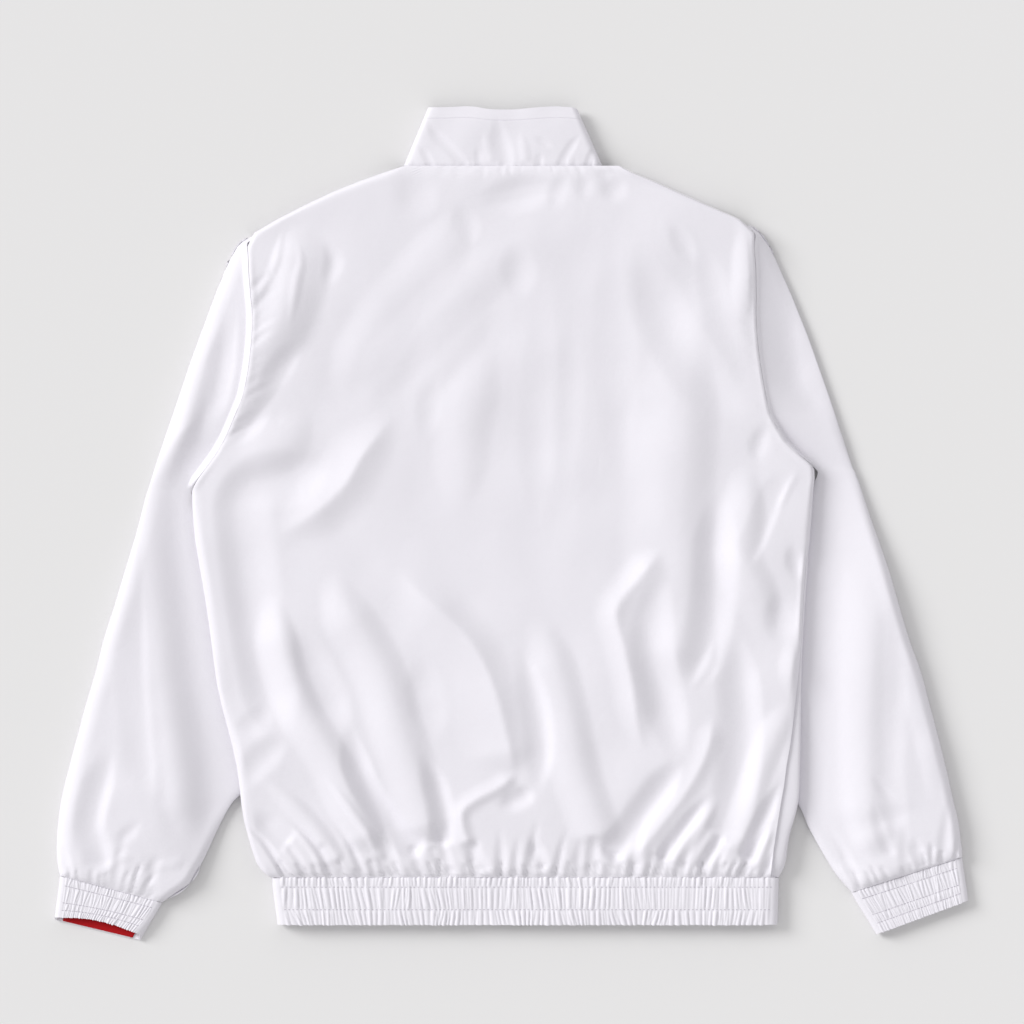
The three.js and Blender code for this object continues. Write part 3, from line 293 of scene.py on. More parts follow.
SLEEVE_FOLDS = [
    # Left
    Fold(3, 34, 80, ROUND, [(-296, 40), (-300, -100), (-296, -200), (-300, -280)], 0.2, 0.1),
    Fold(-3.6, 12, 24, ROUND, [
        (-258, 200), (-262, 150), (-270, 110), (-284, 70), (-297, 30), (-298, -30), (-288, -90),
        (-280, -150), (-272, -230),
    ]),
    Fold(7, 24, 26, ROUND, [
        (-288, 150), (-300, 100), (-314, 40), (-321, -20), (-318, -80), (-312, -140),
        (-305, -200), (-300, -250), (-297, -296),
    ], 0.3, 0.1),
    Fold(-2.4, 10, 26, ROUND, [(-346, -50), (-346, -120), (-341, -200), (-334, -262)], 0.3, 0.2),
    Fold(-3.6, 12, 22, ROUND, [
        (-372, -205), (-378, -235), (-386, -265), (-388, -284), (-382, -302), (-378, -324),
    ], 0.35, 0.1),
    Fold(-1.6, 8, 8, ROUND, [(-372, -296), (-356, -288), (-344, -276)]),
    Fold(1.8, 6, 7, CREST, [(-372, -318), (-358, -309), (-345, -313), (-338, -322)]),
    Fold(1.4, 5, 6, CREST, [(-340, -320), (-322, -318), (-305, -314)]),
    Fold(2.5, 9, 9, ROUND, [(-252, 209), (-251, 148), (-266, 92)]),
    # Right
    Fold(5.5, 96, 26, ROUND, [(296, 60), (296, -100), (292, -200), (296, -290)], 0.2, 0.1),
    Fold(5, 32, 17, ROUND, [(316, -30), (316, -140), (317, -220), (322, -270), (340, -312)], 0.2, 0.1),
    Fold(-2, 16, 24, ROUND, [(352, -66), (356, -130), (353, -200), (352, -240), (357, -290)], 0.25, 0.15),
    Fold(1.4, 14, 14, ROUND, [(366, -130), (388, -210), (392, -262)]),
    Fold(-1.2, 6, 8, ROUND, [(336, -232), (345, -246), (359, -257)]),
    Fold(-2.4, 7, 8, FOOT, [(374, -290), (377, -304), (384, -320)]),
    Fold(-1.3, 7, 9, ROUND, [(336, -258), (343, -285), (354, -310)]),
    Fold(-1.6, 10, 12, ROUND, [(276, -262), (290, -284), (312, -318)]),
]

# Hem band, from its seam to its lower edge: y, left end, right end
HEM_ROWS = np.array([
    (-329.4, -222.5, 248.8), (-338, -222.3, 248.6), (-349, -220.9, 248.2),
    (-359, -219.6, 247.9), (-367, -218.4, 247.7), (-373, -217.7, 247.5),
])
HEM_PLEATS = 92
HEM_TURN = 6.2

# Cuffs: ends of the upper layer as x and y, then y of the lower layer's ends
CUFFS = {
    "left": np.array([
        (-420.2, -327.9, -325.2, -352.8, -327.9, -352.8), (-421.3, -338, -329.5, -360.5, -338, -360.5),
        (-423.5, -354, -337, -372, -355.5, -373), (-425, -366.5, -345.5, -382.5, -369, -388),
    ]),
    "right": np.array([
        (316.2, -343.4, 419.3, -310.7, -343.4, -310.7), (321.7, -353, 420.8, -321, -353, -321),
        (331, -368, 423, -336, -368, -336), (339.5, -382, 425, -350.5, -382.3, -350.8),
    ]),
}
CUFF_PLEATS = 25
CUFF_TURN = 4.6
CUFF_DIP = (0, 0.5, 2.2, 5.5)

# Collar: base point and top point of each column round the neck
COLLAR = np.array([
    (-1, 262.4, 4.8, -1, 317, 4.8), (-14, 265, 3.2, -9, 319, 3.2), (-41.5, 270.6, 0, -25, 325, 0),
    (-80.4, 296.6, 0, -50, 342, 0), (-94.7, 318.6, 0, -62, 360, 0), (-96.5, 328, 0.4, -71.5, 380, 0.4),
    (-98.8, 331.5, 3, -76, 385, 3), (-100, 332.9, 7, -77.6, 386.6, 6.6),
    (-98.8, 332.9, 11, -76.4, 386.9, 10.4), (-94, 332.9, 14, -72, 387, 12.8),
    (-75, 332.9, 14.5, -58, 387.2, 13.2), (-48, 332.9, 14.8, -38, 387.9, 13.4),
    (-23, 332.9, 15, -20, 385.3, 13.6), (2, 332.9, 15, 1, 385, 13.6), (27, 332.9, 15, 20, 386.6, 13.6),
    (50, 332.9, 14.6, 40, 387.9, 13.4), (70, 332.9, 14.2, 52, 387.2, 13),
    (79, 332.9, 13.8, 57, 386.8, 12.6), (83.4, 332.9, 10.8, 60.4, 385.8, 10),
    (84.6, 332.9, 6.8, 61.4, 384.8, 6.2), (84.4, 331.5, 2.8, 60.4, 383, 2.8),
    (85.4, 328, 0.4, 58, 378, 0.4), (87.7, 318.6, 0, 56, 359, 0), (82.4, 296.6, 0, 52, 342, 0),
    (51.5, 270.6, 0, 33, 325, 0), (24, 265, 3.2, 19, 319, 3.2), (11, 262.4, 4.8, 11, 317, 4.8),
])
BAND_FROM = 0.78
COLLAR_COLS = 420

# Hidden front neck, from the shoulders down to the zip: y, left edge, right edge
NECK_DROP = np.array([
    (329, -98.2, 87), (318, -95.3, 88.5), (296, -81, 83), (270, -42, 52),
    (262, ZIP_X - ZIP_HALF_GAP, ZIP_X + ZIP_HALF_GAP), (-340, ZIP_X - ZIP_HALF_GAP, ZIP_X + ZIP_HALF_GAP),
])


def mix(a, b, t):
    return a + (b - a) * t


def smooth(t):
    t = np.clip(t, 0, 1)
    return t * t * (3 - 2 * t)


def quarter_round(t):
    return np.sqrt(np.maximum(0, 1 - (1 - np.clip(t, 0, 1)) ** 2))


def between(a, b, c, d, t):
    """The smooth line through a, b, c and d, on its way from b to c."""
    square, cube = 2 * a - 5 * b + 4 * c - d, 3 * b - a - 3 * c + d
    return 0.5 * (2 * b + (c - a) * t + square * t**2 + cube * t**3)


def curve(points, steps=5):
    """A smooth line through points."""
    p = np.array(points, float)
    if len(p) < 3:
        return p
    q = np.vstack([2 * p[0] - p[1], p, 2 * p[-1] - p[-2]])
    out = []
    t = np.linspace(0, 1, steps, endpoint=False)[:, None]
    for corners in zip(q, q[1:], q[2:], q[3:]):
        out.append(between(*corners, t))
    return np.vstack(out + [p[-1:]])


def table_at(rows, t):
    """Rows of a table at fractional row numbers, on a smooth line through them."""
    p = np.vstack([2 * rows[0] - rows[1], rows, 2 * rows[-1] - rows[-2]])
    i = np.clip(np.floor(t).astype(int), 0, len(rows) - 2)
    f = (t - i)[:, None]
    return between(p[i], p[i + 1], p[i + 2], p[i + 3], f)


def read(rows, y, column):
    """A column of a table whose first column falls, at y."""
    return np.interp(-np.asarray(y, float), -rows[:, 0], rows[:, column])


def nearest(line, x, y):
    """Distance to a line, which side of it, share of the way along, and the nearest point."""
    line = np.asarray(line, float)
    best = np.full(x.shape, np.inf)
    side, along, px, py = (np.zeros(x.shape) for _ in range(4))
    lengths = np.hypot(*(line[1:] - line[:-1]).T)
    start = np.concatenate([[0], np.cumsum(lengths)])
    for i, (dx, dy) in enumerate(line[1:] - line[:-1]):
        ax, ay = line[i]
        t = np.clip(((x - ax) * dx + (y - ay) * dy) / (dx * dx + dy * dy + 1e-12), 0, 1)
        ex, ey = x - ax - dx * t, y - ay - dy * t
        d = ex * ex + ey * ey
        near = d < best
        best = np.where(near, d, best)
        side = np.where(near, np.sign(dx * (y - ay) - dy * (x - ax)), side)
        along = np.where(near, (start[i] + t * lengths[i]) / start[-1], along)
        px = np.where(near, ax + dx * t, px)
        py = np.where(near, ay + dy * t, py)
    return np.sqrt(best), side, along, px, py


# Soft waves of the upper cloth and of the fronts: length and height
UPPER_WAVES = ((130, 0.6), (52, 0.14))
FRONT_WAVES = ((90, 1), (30, 0.5))

# Ends of a fold: how narrow it gets, how long it tapers, and its share where it runs into the hem
NARROW_END = 0.5
FOLD_TAPER = 55
LONGEST_TAPER = 0.45
HEM_FOLDS = -288
HEM_TAPER = 0.08

# Spread of the puckers along a seam: place, size, height at a size, width, slant, bend and ends
PUCKER_PLACE = (0.1, 0.9)
PUCKER_SIZE = (0.45, 1.35)
PUCKER_HEIGHT = (0.24, 0.6)
PUCKER_WIDTH = (0.7, 1.3)
PUCKER_SLANT = 0.18
PUCKER_BEND = (0.42, 0.55)
PUCKER_ENDS = (0.04, 0.75)

# Spread of the lengths of soft waves, and how much and how often they bend
WAVE_SPREAD = (0.7, 1.6)
WAVE_BEND = 1.1
WAVE_BEND_RUN = 0.6


def puckers(line, count, length, lean, height, width, seed):
    """Small uneven folds that start along a seam and run off it by lean and by length."""
    rng = np.random.default_rng(seed)
    line = curve(line)
    run = np.concatenate([[0], np.cumsum(np.hypot(*(line[1:] - line[:-1]).T))])
    folds = []
    for k in range(count):
        at = (k + rng.uniform(*PUCKER_PLACE)) / count
        x, y = (np.interp(at * run[-1], run, line[:, i]) for i in (0, 1))
        size = rng.uniform(*PUCKER_SIZE)
        slant = mix(lean[0], lean[1], at) + rng.uniform(-PUCKER_SLANT, PUCKER_SLANT)
        off_y = length * size
        off_x = slant * off_y
        middle = (x + PUCKER_BEND[0] * off_x, y + PUCKER_BEND[1] * off_y)
        wide = width * rng.uniform(*PUCKER_WIDTH)
        high = height * (PUCKER_HEIGHT[0] + PUCKER_HEIGHT[1] * size)
        folds.append(Fold(high, wide, wide, ROUND, [(x, y), middle, (x + off_x, y + off_y)], *PUCKER_ENDS))
    return folds


def rumple(x, y, size, seed, waves=9):
    """Soft uneven waves, about size millimetres long and 1 high."""
    rng = np.random.default_rng(seed)
    z = np.zeros(np.shape(x))
    for _ in range(waves):
        turn, start, bend = rng.uniform(0, 2 * np.pi, 3)
        run = 2 * np.pi / (size * rng.uniform(*WAVE_SPREAD))
        u, v = x * math.cos(turn) + y * math.sin(turn), y * math.cos(turn) - x * math.sin(turn)
        z = z + np.sin(u * run + start + WAVE_BEND * np.sin(v * run * WAVE_BEND_RUN + bend))
    return z / math.sqrt(waves / 2)


def cloth_waves(x, y, waves, seed):
    return sum(high * rumple(x, y, size, seed + k) for k, (size, high) in enumerate(waves))


def fold_height(folds, x, y):
    """Height that a list of folds adds at each point."""
    z = np.zeros(x.shape)
    for fold in folds:
        line = curve(fold.line)
        reach = max(fold.east, fold.west)
        low, high = line.min(axis=0) - reach, line.max(axis=0) + reach
        pick = (x > low[0]) & (x < high[0]) & (y > low[1]) & (y < high[1])
        if not pick.any():
            continue
        length = np.hypot(*(line[1:] - line[:-1]).T).sum()
        d, side, along, _, _ = nearest(line, x[pick], y[pick])
        across = np.clip(d / np.where(side >= 0, fold.east, fold.west), 0, 1)
        crest, foot = fold.shape
        start, stop = (share or min(LONGEST_TAPER, FOLD_TAPER / length) for share in (fold.start, fold.stop))
        stop = HEM_TAPER if line[-1, 1] < HEM_FOLDS else stop
        ends = smooth(along / start) * smooth((1 - along) / stop)
        across = np.clip(across / mix(NARROW_END, 1, ends), 0, 1)
        z[pick] += fold.height * (1 - across**crest) ** foot * ends
    return z


def domed(full, edges, x, y):
    """A surface that is full inside and rounds down to each edge: (line, height there, width)."""
    height = full
    for line, at, width in edges:
        d, _, _, px, py = nearest(line, x, y)
        low = at(px, py) if callable(at) else at
        rounded = mix(low, np.maximum(full, low), quarter_round(d / width))
        height = np.minimum(height, np.where(d < width, rounded, np.inf))
    return height


def edge_line(side, top, bottom):
    """A side of the body's outline between two heights up the photo."""
    rows = OUTLINE[(OUTLINE[:, 0] <= top) & (OUTLINE[:, 0] >= bottom)]
    return rows[:, [COLUMN[side], 0]]


def side_seam_height(y):
    shows = np.maximum(0, read(OUTLINE, y, FRONT_COLUMN) - read(OUTLINE, y, COLUMN["right"]))
    return SIDE_HEIGHT + SIDE_RISE * quarter_round(shows / SEAM_RISE_WIDTH)


def armhole_rise(y):
    """How much higher the back lies along the upper part of its left armhole."""
    rises = smooth((y - LIFT_FROM) / (LIFT_FULL - LIFT_FROM))
    return ARMHOLE_LIFT * rises * smooth((LIFT_TO - y) / (LIFT_TO - LIFT_FALLS))


def back_level(x, y):
    """The back without its folds: level, and raised towards the left armhole."""
    reach = np.interp(y, *zip(*LIFT_REACH))
    off = np.maximum(0, x - read(OUTLINE, y, COLUMN["left"])) / reach
    return BACK_HEIGHT + armhole_rise(y) * (1 - np.clip(off, 0, 1) ** LIFT_CREST) ** LIFT_FOOT


def left_armhole_height(_, y):
    return ARMHOLE_HEIGHT["left"] + armhole_rise(y)


def right_side_height(_, y):
    return side_seam_height(y)


NECK_LINE = np.array([(-99.7, NECK_Y), (101, NECK_Y)])
HEM_LINE = np.array([(-223.5, HEM_Y), (240.8, HEM_Y)])
BACK_EDGES = [
    (edge_line("left", NECK_Y, SHOULDER_END["left"]), SHOULDER_HEIGHT, SHOULDER_ROLL["left"]),
    (edge_line("right", NECK_Y, SHOULDER_END["right"]), SHOULDER_HEIGHT, SHOULDER_ROLL["right"]),
    (edge_line("left", SHOULDER_END["left"], UNDERARM["left"]), left_armhole_height, ARMHOLE_ROLL["left"]),
    (
        edge_line("right", SHOULDER_END["right"], UNDERARM["right"]),
        ARMHOLE_HEIGHT["right"], ARMHOLE_ROLL["right"],
    ),
    (edge_line("left", UNDERARM["left"], HEM_Y), SIDE_HEIGHT, SIDE_ROLL["left"]),
    (edge_line("right", UNDERARM["right"], HEM_Y), right_side_height, SIDE_ROLL["right"]),
    (NECK_LINE, NECK_HEIGHT, NECK_ROLL),
    (HEM_LINE, HEM_HEIGHT, HEM_ROLL),
]
BACK_RING = np.vstack([
    edge_line("left", NECK_Y, HEM_Y), edge_line("right", NECK_Y, HEM_Y)[::-1], NECK_LINE[:1],
])


# Gathers: the line they start on, how many, their length, lean at both ends, height, width and seed
HEM_SEAM = [(-214, HEM_Y), (-60, HEM_Y), (90, HEM_Y), (236, HEM_Y)]
LEFT_ARMHOLE = [(-243, 226), (-240.5, 180), (-246, 132), (-256, 103), (-268, 76)]
RIGHT_ARMHOLE = [(227, 230), (228, 180), (234, 132), (246, 90), (268, 62)]
BACK_GATHERS = (
    puckers(HEM_SEAM, 62, 13, (-0.5, 0.5), -2, 3.2, 11)
    + puckers(HEM_SEAM, 26, 46, (-0.75, 0.75), -2.6, 6.5, 12)
    + puckers(LEFT_ARMHOLE, 17, 15, (1.5, 1.9), -1.1, 3.6, 13)
    + puckers(RIGHT_ARMHOLE, 12, 12, (-1.5, -1.9), -0.6, 3.4, 14)
    + puckers([(-96, NECK_Y), (0, NECK_Y), (96, NECK_Y)], 15, -11, (-0.2, -0.3), -0.6, 3.4, 15)
)

# How far from its edge the cloth has its full folds and gathers
FOLD_FADE = 7
GATHER_FADE = 2


def back_height(x, y):
    to_edge = nearest(BACK_RING, x, y)[0]
    fade = smooth(to_edge / FOLD_FADE)
    folds = (fold_height(BACK_FOLDS, x, y) + cloth_waves(x, y, UPPER_WAVES, 21)) * fade
    gathered = fold_height(BACK_GATHERS, x, y) * smooth(to_edge / GATHER_FADE)
    return domed(back_level(x, y) + folds, BACK_EDGES, x, y) + gathered


def seam_height(x, y):
    return domed(back_level(x, y), BACK_EDGES, x, y)


CUFF_SEAM = {
    "left": [(-418, -328), (-375, -339), (-330, -351)],
    "right": [(320, -342), (365, -328), (416, -311.5)],
}
CUFF_GATHERS = {
    "left": puckers(CUFF_SEAM["left"], 9, 20, (-0.25, 0.45), -1.7, 3.6, 31)
    + puckers(CUFF_SEAM["left"], 3, 46, (-0.25, 0.3), -1.4, 7, 32),
    "right": puckers(CUFF_SEAM["right"], 10, 18, (-0.5, 0.1), -1.7, 3.4, 33)
    + puckers(CUFF_SEAM["right"], 3, 50, (-0.45, 0.05), -1.4, 7, 34),
}


def sleeve_top(side, x, y):
    """Height of a sleeve's upper layer."""
    table = SLEEVES[side]
    cuff_end = np.array([table[-1][:2], table[-1][2:]])
    upper = smooth((y - UNDERARM[side] + UPPER_BLEND / 2) / UPPER_BLEND)
    full = mix(SLEEVE_HEIGHT, UPPER_SLEEVE[side], upper)
    full = full + fold_height(SLEEVE_FOLDS, x, y) + cloth_waves(x, y, UPPER_WAVES, 41)
    edges = [(table[:, :2], SLEEVE_EDGE, SLEEVE_ROLL[side]), (cuff_end, CUFF_HEIGHT, CUFF_ROLL)]
    reach = read(OUTLINE, y, COLUMN[side])
    if side == "right":
        reach = np.maximum(reach, read(OUTLINE, y, FRONT_COLUMN))
    beyond = SIGN[side] * (x - reach)
    up = smooth((y - UNDERARM[side]) / ARMHOLE_BLEND)
    low = mix(SLEEVE_UNDER_BODY, ARMHOLE_VALLEY[side], up)
    if side == "left":
        low = low + LIFT_BESIDE * armhole_rise(y)
        full = full + LIFT_ON_SLEEVE * armhole_rise(y)
    start, stop = (mix(a, b, up) for a, b in zip(BODY_CLEAR[side], VALLEY_CLEAR[side]))
    profile = mix(low, full, smooth((beyond - start) / (stop - start)))
    lower = table[table[:, 3] < UNDERARM[side]][:, 2:]
    below = domed(profile, edges + [(lower, SLEEVE_SEAM, INNER_ROLL)], x, y)
    below = mix(domed(profile, edges, x, y), below, smooth((UNDERARM[side] - y) / UNDERARM_BLEND))
    armhole = edge_line(side, SHOULDER_END[side], UNDERARM[side])
    off, _, _, px, py = nearest(armhole, x, y)
    lip = smooth(1 - off / ARMHOLE_LIP[side]) * smooth((y - UNDERARM[side]) / LIP_START)
    lip = lip * smooth(nearest(table[:, :2], x, y)[0] / LIP_EDGE)
    above = domed(profile, edges, x, y)
    above = mix(above, np.maximum(above, seam_height(px, py)), lip)
    gathered = fold_height(CUFF_GATHERS[side], x, y) * smooth(nearest(cuff_end, x, y)[0] / GATHER_FADE)
    return np.where(y >= UNDERARM[side], above, below) + gathered


def hidden_armhole(side, y):
    """Where a front meets its sleeve beneath, and how high it sits there."""
    rise = 1 - smooth((y - UNDERARM[side]) / UNDERARM_RISE)
    x = read(OUTLINE, y, COLUMN[side]) - SIGN[side] * ARMHOLE_CUT
    return x, (SIDE_HEIGHT - 2 * SHELL_WALL - LAP_GAP - HIDDEN_LAP) * rise


def zip_lift(x):
    """How high the fronts and the hem lie above the ground, over the zip and beside it."""
    return ZIP_LIFT * (1 - smooth((np.abs(x - ZIP_X) - ZIP_HALF_GAP - ZIP_FLAT) / ZIP_LIFT_WIDTH))


def grid_mesh(name, points, wall, facing, material):
    """A cloth shell whose outer face runs through a grid of points in millimetres.

    facing: a share across the grid's middle row, and which way along Z the face there looks out.
    """
    rows, cols = points.shape[:2]
    mesh = bmesh.new()
    bmesh.ops.create_grid(mesh, x_segments=cols - 1, y_segments=rows - 1, size=1)
    mesh.verts.ensure_lookup_table()
    for vert, place in zip(mesh.verts, points.reshape(-1, 3) * MM):
        vert.co = place
    mesh.normal_update()
    mesh.faces.ensure_lookup_table()
    share, sign = facing
    probe = mesh.faces[(rows - 1) // 2 * (cols - 1) + int((cols - 1) * share)]
    if probe.normal.z * sign < 0:
        bmesh.ops.reverse_faces(mesh, faces=mesh.faces[:])
    for edge in mesh.edges:
        edge.smooth = not edge.is_boundary
    for face in mesh.faces:
        face.smooth = True
    piece = finished(name, mesh, material)
    shell = piece.modifiers.new("Thickness", "SOLIDIFY")
    shell.thickness = wall * MM
    shell.offset = -1
    return piece


def finished(name, mesh, material):
    """A new object of a mesh, with its material."""
    data = bpy.data.meshes.new(name)
    mesh.to_mesh(data)
    mesh.free()
    piece = bpy.data.objects.new(name, data)
    bpy.context.scene.collection.objects.link(piece)
    data.materials.append(material)
    return piece


def refine(points, rows, cols):
    """A coarse grid of points made finer along smooth lines through them."""
    n, m = points.shape[:2]
    down = table_at(points.reshape(n, -1), np.linspace(0, n - 1, rows)).reshape(rows, m, 3)
    across = table_at(down.transpose(1, 0, 2).reshape(m, -1), np.linspace(0, m - 1, cols))
    return across.reshape(cols, rows, 3).transpose(1, 0, 2)


def edged(count, ends=0.5):
    """Shares from 0 to 1, closer together near both ends."""
    t = np.linspace(0, 1, count)
    return mix(t, 0.5 - 0.5 * np.cos(np.pi * t), ends)


def dress(piece, node):
    """Put a sheet in the place of its CAD node: hide the node and attach the sheet to the body."""
    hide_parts(node)
    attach(piece, BODY)


def group_socket(group, name, kind, direction, default=None):
    socket = group.interface.new_socket(name=name, in_out=direction, socket_type=kind)
    if default is not None:
        socket.default_value = default


def weave_group():
    """Plain weave, slubs and small creases: puts out a colour, a height and a roughness."""
    if "Plain weave" in bpy.data.node_groups:
        return bpy.data.node_groups["Plain weave"]
    group = bpy.data.node_groups.new("Plain weave", "ShaderNodeTree")
    group_socket(group, "Colour", "NodeSocketColor", "INPUT", (0.8, 0.8, 0.8, 1))
    group_socket(group, "Shade", "NodeSocketColor", "INPUT", (0.7, 0.7, 0.7, 1))
    group_socket(group, "Thread", "NodeSocketFloat", "INPUT", 3200)
    group_socket(group, "Creases", "NodeSocketFloat", "INPUT", 1)
    group_socket(group, "Roughness", "NodeSocketFloat", "INPUT", 0.6)
    group_socket(group, "Colour", "NodeSocketColor", "OUTPUT")
    group_socket(group, "Height", "NodeSocketFloat", "OUTPUT")
    group_socket(group, "Roughness", "NodeSocketFloat", "OUTPUT")
    nodes, links = group.nodes, group.links
    inputs, outputs = nodes.new("NodeGroupInput"), nodes.new("NodeGroupOutput")
    place = nodes.new("ShaderNodeTexCoord")
    threads = []
    for axis in ("X", "Y"):
        wave = nodes.new("ShaderNodeTexWave")
        wave.bands_direction = axis
        wave.inputs["Distortion"].default_value = 0.4
        links.new(place.outputs["Object"], wave.inputs["Vector"])
        links.new(inputs.outputs["Thread"], wave.inputs["Scale"])
        threads.append(wave)
    crossing = nodes.new("ShaderNodeMath")
    crossing.operation = "MULTIPLY"
    for k, wave in enumerate(threads):
        links.new(wave.outputs["Fac"], crossing.inputs[k])
    slub = nodes.new("ShaderNodeTexNoise")
    slub.inputs["Scale"].default_value = 900
    crease = nodes.new("ShaderNodeTexNoise")
    crease.inputs["Scale"].default_value = 55
    crease.inputs["Detail"].default_value = 4
    crease.inputs["Distortion"].default_value = 0.8
    for noise in (slub, crease):
        links.new(place.outputs["Object"], noise.inputs["Vector"])
    creased = nodes.new("ShaderNodeMath")
    creased.operation = "MULTIPLY"
    links.new(crease.outputs["Fac"], creased.inputs[0])
    links.new(inputs.outputs["Creases"], creased.inputs[1])
    fine = nodes.new("ShaderNodeMath")
    fine.operation = "MULTIPLY_ADD"
    fine.inputs[1].default_value = 0.12
    links.new(crossing.outputs[0], fine.inputs[0])
    links.new(creased.outputs[0], fine.inputs[2])
    links.new(fine.outputs[0], outputs.inputs["Height"])
    tint = nodes.new("ShaderNodeMix")
    tint.data_type = "RGBA"
    links.new(slub.outputs["Fac"], tint.inputs["Factor"])
    links.new(inputs.outputs["Colour"], tint.inputs["A"])
    links.new(inputs.outputs["Shade"], tint.inputs["B"])
    links.new(tint.outputs["Result"], outputs.inputs["Colour"])
    gloss = nodes.new("ShaderNodeMath")
    gloss.operation = "MULTIPLY_ADD"
    gloss.inputs[1].default_value = 0.08
    links.new(crossing.outputs[0], gloss.inputs[0])
    links.new(inputs.outputs["Roughness"], gloss.inputs[2])
    links.new(gloss.outputs[0], outputs.inputs["Roughness"])
    return group


def cloth_material(name, colour, shade, thread, creases, rough, sheen):
    if name in bpy.data.materials:
        return bpy.data.materials[name]
    material = bpy.data.materials.new(name)
    material.use_nodes = True
    nodes, links = material.node_tree.nodes, material.node_tree.links
    shader = nodes["Principled BSDF"]
    weave = nodes.new("ShaderNodeGroup")
    weave.node_tree = weave_group()
    weave.inputs["Colour"].default_value = (*colour, 1)
    weave.inputs["Shade"].default_value = (*shade, 1)
    weave.inputs["Thread"].default_value = thread
    weave.inputs["Creases"].default_value = creases
    weave.inputs["Roughness"].default_value = rough
    bump = nodes.new("ShaderNodeBump")
    bump.inputs["Strength"].default_value = 0.35
    bump.inputs["Distance"].default_value = 0.001
    links.new(weave.outputs["Height"], bump.inputs["Height"])
    links.new(bump.outputs["Normal"], shader.inputs["Normal"])
    links.new(weave.outputs["Colour"], shader.inputs["Base Color"])
    links.new(weave.outputs["Roughness"], shader.inputs["Roughness"])
    shader.inputs["Sheen Weight"].default_value = sheen
    shader.inputs["Sheen Roughness"].default_value = 0.5
    shader.inputs["Specular IOR Level"].default_value = 0.3
    return material


def metal_material():
    name = "Zip metal"
    if name in bpy.data.materials:
        return bpy.data.materials[name]
    material = bpy.data.materials.new(name)
    material.use_nodes = True
    nodes, links = material.node_tree.nodes, material.node_tree.links
    shader = nodes["Principled BSDF"]
    shader.inputs["Metallic"].default_value = 1
    place, noise = nodes.new("ShaderNodeTexCoord"), nodes.new("ShaderNodeTexNoise")
    ramp = nodes.new("ShaderNodeValToRGB")
    noise.inputs["Scale"].default_value = 700
    ramp.color_ramp.elements[0].color = (0.42, 0.42, 0.44, 1)
    ramp.color_ramp.elements[1].color = (0.66, 0.66, 0.69, 1)
    rough = nodes.new("ShaderNodeMath")
    rough.operation = "MULTIPLY_ADD"
    rough.inputs[1].default_value = 0.25
    rough.inputs[2].default_value = 0.22
    links.new(place.outputs["Object"], noise.inputs["Vector"])
    links.new(noise.outputs["Fac"], ramp.inputs["Fac"])
    links.new(ramp.outputs["Color"], shader.inputs["Base Color"])
    links.new(noise.outputs["Fac"], rough.inputs[0])
    links.new(rough.outputs[0], shader.inputs["Roughness"])
    return material


def shell_cloth(settings):
    return cloth_material("Outer cloth", settings.shell_colour, settings.shell_shade, 2600, 1.0, 0.5, 0.15)


def band_cloth(settings):
    return cloth_material("Band cloth", settings.shell_colour, settings.shell_shade, 2000, 0.5, 0.55, 0.1)


def lining_cloth(settings):
    return cloth_material("Red lining", settings.lining_colour, settings.lining_shade, 1800, 0.6, 0.85, 0.0)


def tape_cloth(settings):
    return cloth_material("Zip tape", settings.tape_colour, settings.tape_colour, 1500, 0.2, 0.6, 0.0)


# Material of the sewing thread, its colour darkened with painted shade for the stitch hollows
def thread_material(settings):
    colour = settings.thread_colour_and_shade
    return cloth_material("Sewing thread", colour, colour, 5000, 0.1, 0.5, 0.0)


class JacketCloth(bpy.types.PropertyGroup):
    """Sizes and colours of the jacket's cloth."""

    wall: bpy.props.FloatProperty(
        name="Cloth thickness", description="Thickness of the outer cloth, in millimetres",
        default=1.2, min=0.5, max=3,
    )
    band_wall: bpy.props.FloatProperty(
        name="Band thickness", description="Thickness of the hem band and cuffs, in millimetres",
        default=1.8, min=0.5, max=4,
    )
    collar_wall: bpy.props.FloatProperty(
        name="Collar thickness", description="Thickness of the collar, in millimetres",
        default=1.6, min=0.5, max=4,
    )
    lining_wall: bpy.props.FloatProperty(
        name="Lining thickness", description="Thickness of the lining, in millimetres",
        default=0.8, min=0.3, max=2,
    )
    thread: bpy.props.FloatProperty(
        name="Thread radius", description="Radius of the sewing thread, in millimetres",
        default=0.27, min=0.1, max=1,
    )
    # Thread colour, darker than the cloth: partly the thread's own tone, partly painted shade for the hollows
    # the stitches sit in
    thread_colour_and_shade: bpy.props.FloatVectorProperty(
        name="Thread colour and shade", description="Colour of the sewing thread",
        subtype="COLOR", size=3, default=(0.5, 0.47, 0.53),
    )
    shell_colour: bpy.props.FloatVectorProperty(
        name="Cloth colour", description="Colour of the threads",
        subtype="COLOR", size=3, default=(0.85, 0.83, 0.885),
    )
    shell_shade: bpy.props.FloatVectorProperty(
        name="Cloth shade", description="Colour between the threads",
        subtype="COLOR", size=3, default=(0.82, 0.80, 0.855),
    )
    lining_colour: bpy.props.FloatVectorProperty(
        name="Lining colour", description="Colour of the lining",
        subtype="COLOR", size=3, default=(0.5, 0.002, 0.006),
    )
    lining_shade: bpy.props.FloatVectorProperty(
        name="Lining shade", description="Darker thread of the lining",
        subtype="COLOR", size=3, default=(0.34, 0.003, 0.006),
    )
    tape_colour: bpy.props.FloatVectorProperty(
        name="Tape colour", description="Colour of the zip tape",
        subtype="COLOR", size=3, default=(0.72, 0.71, 0.74),
    )


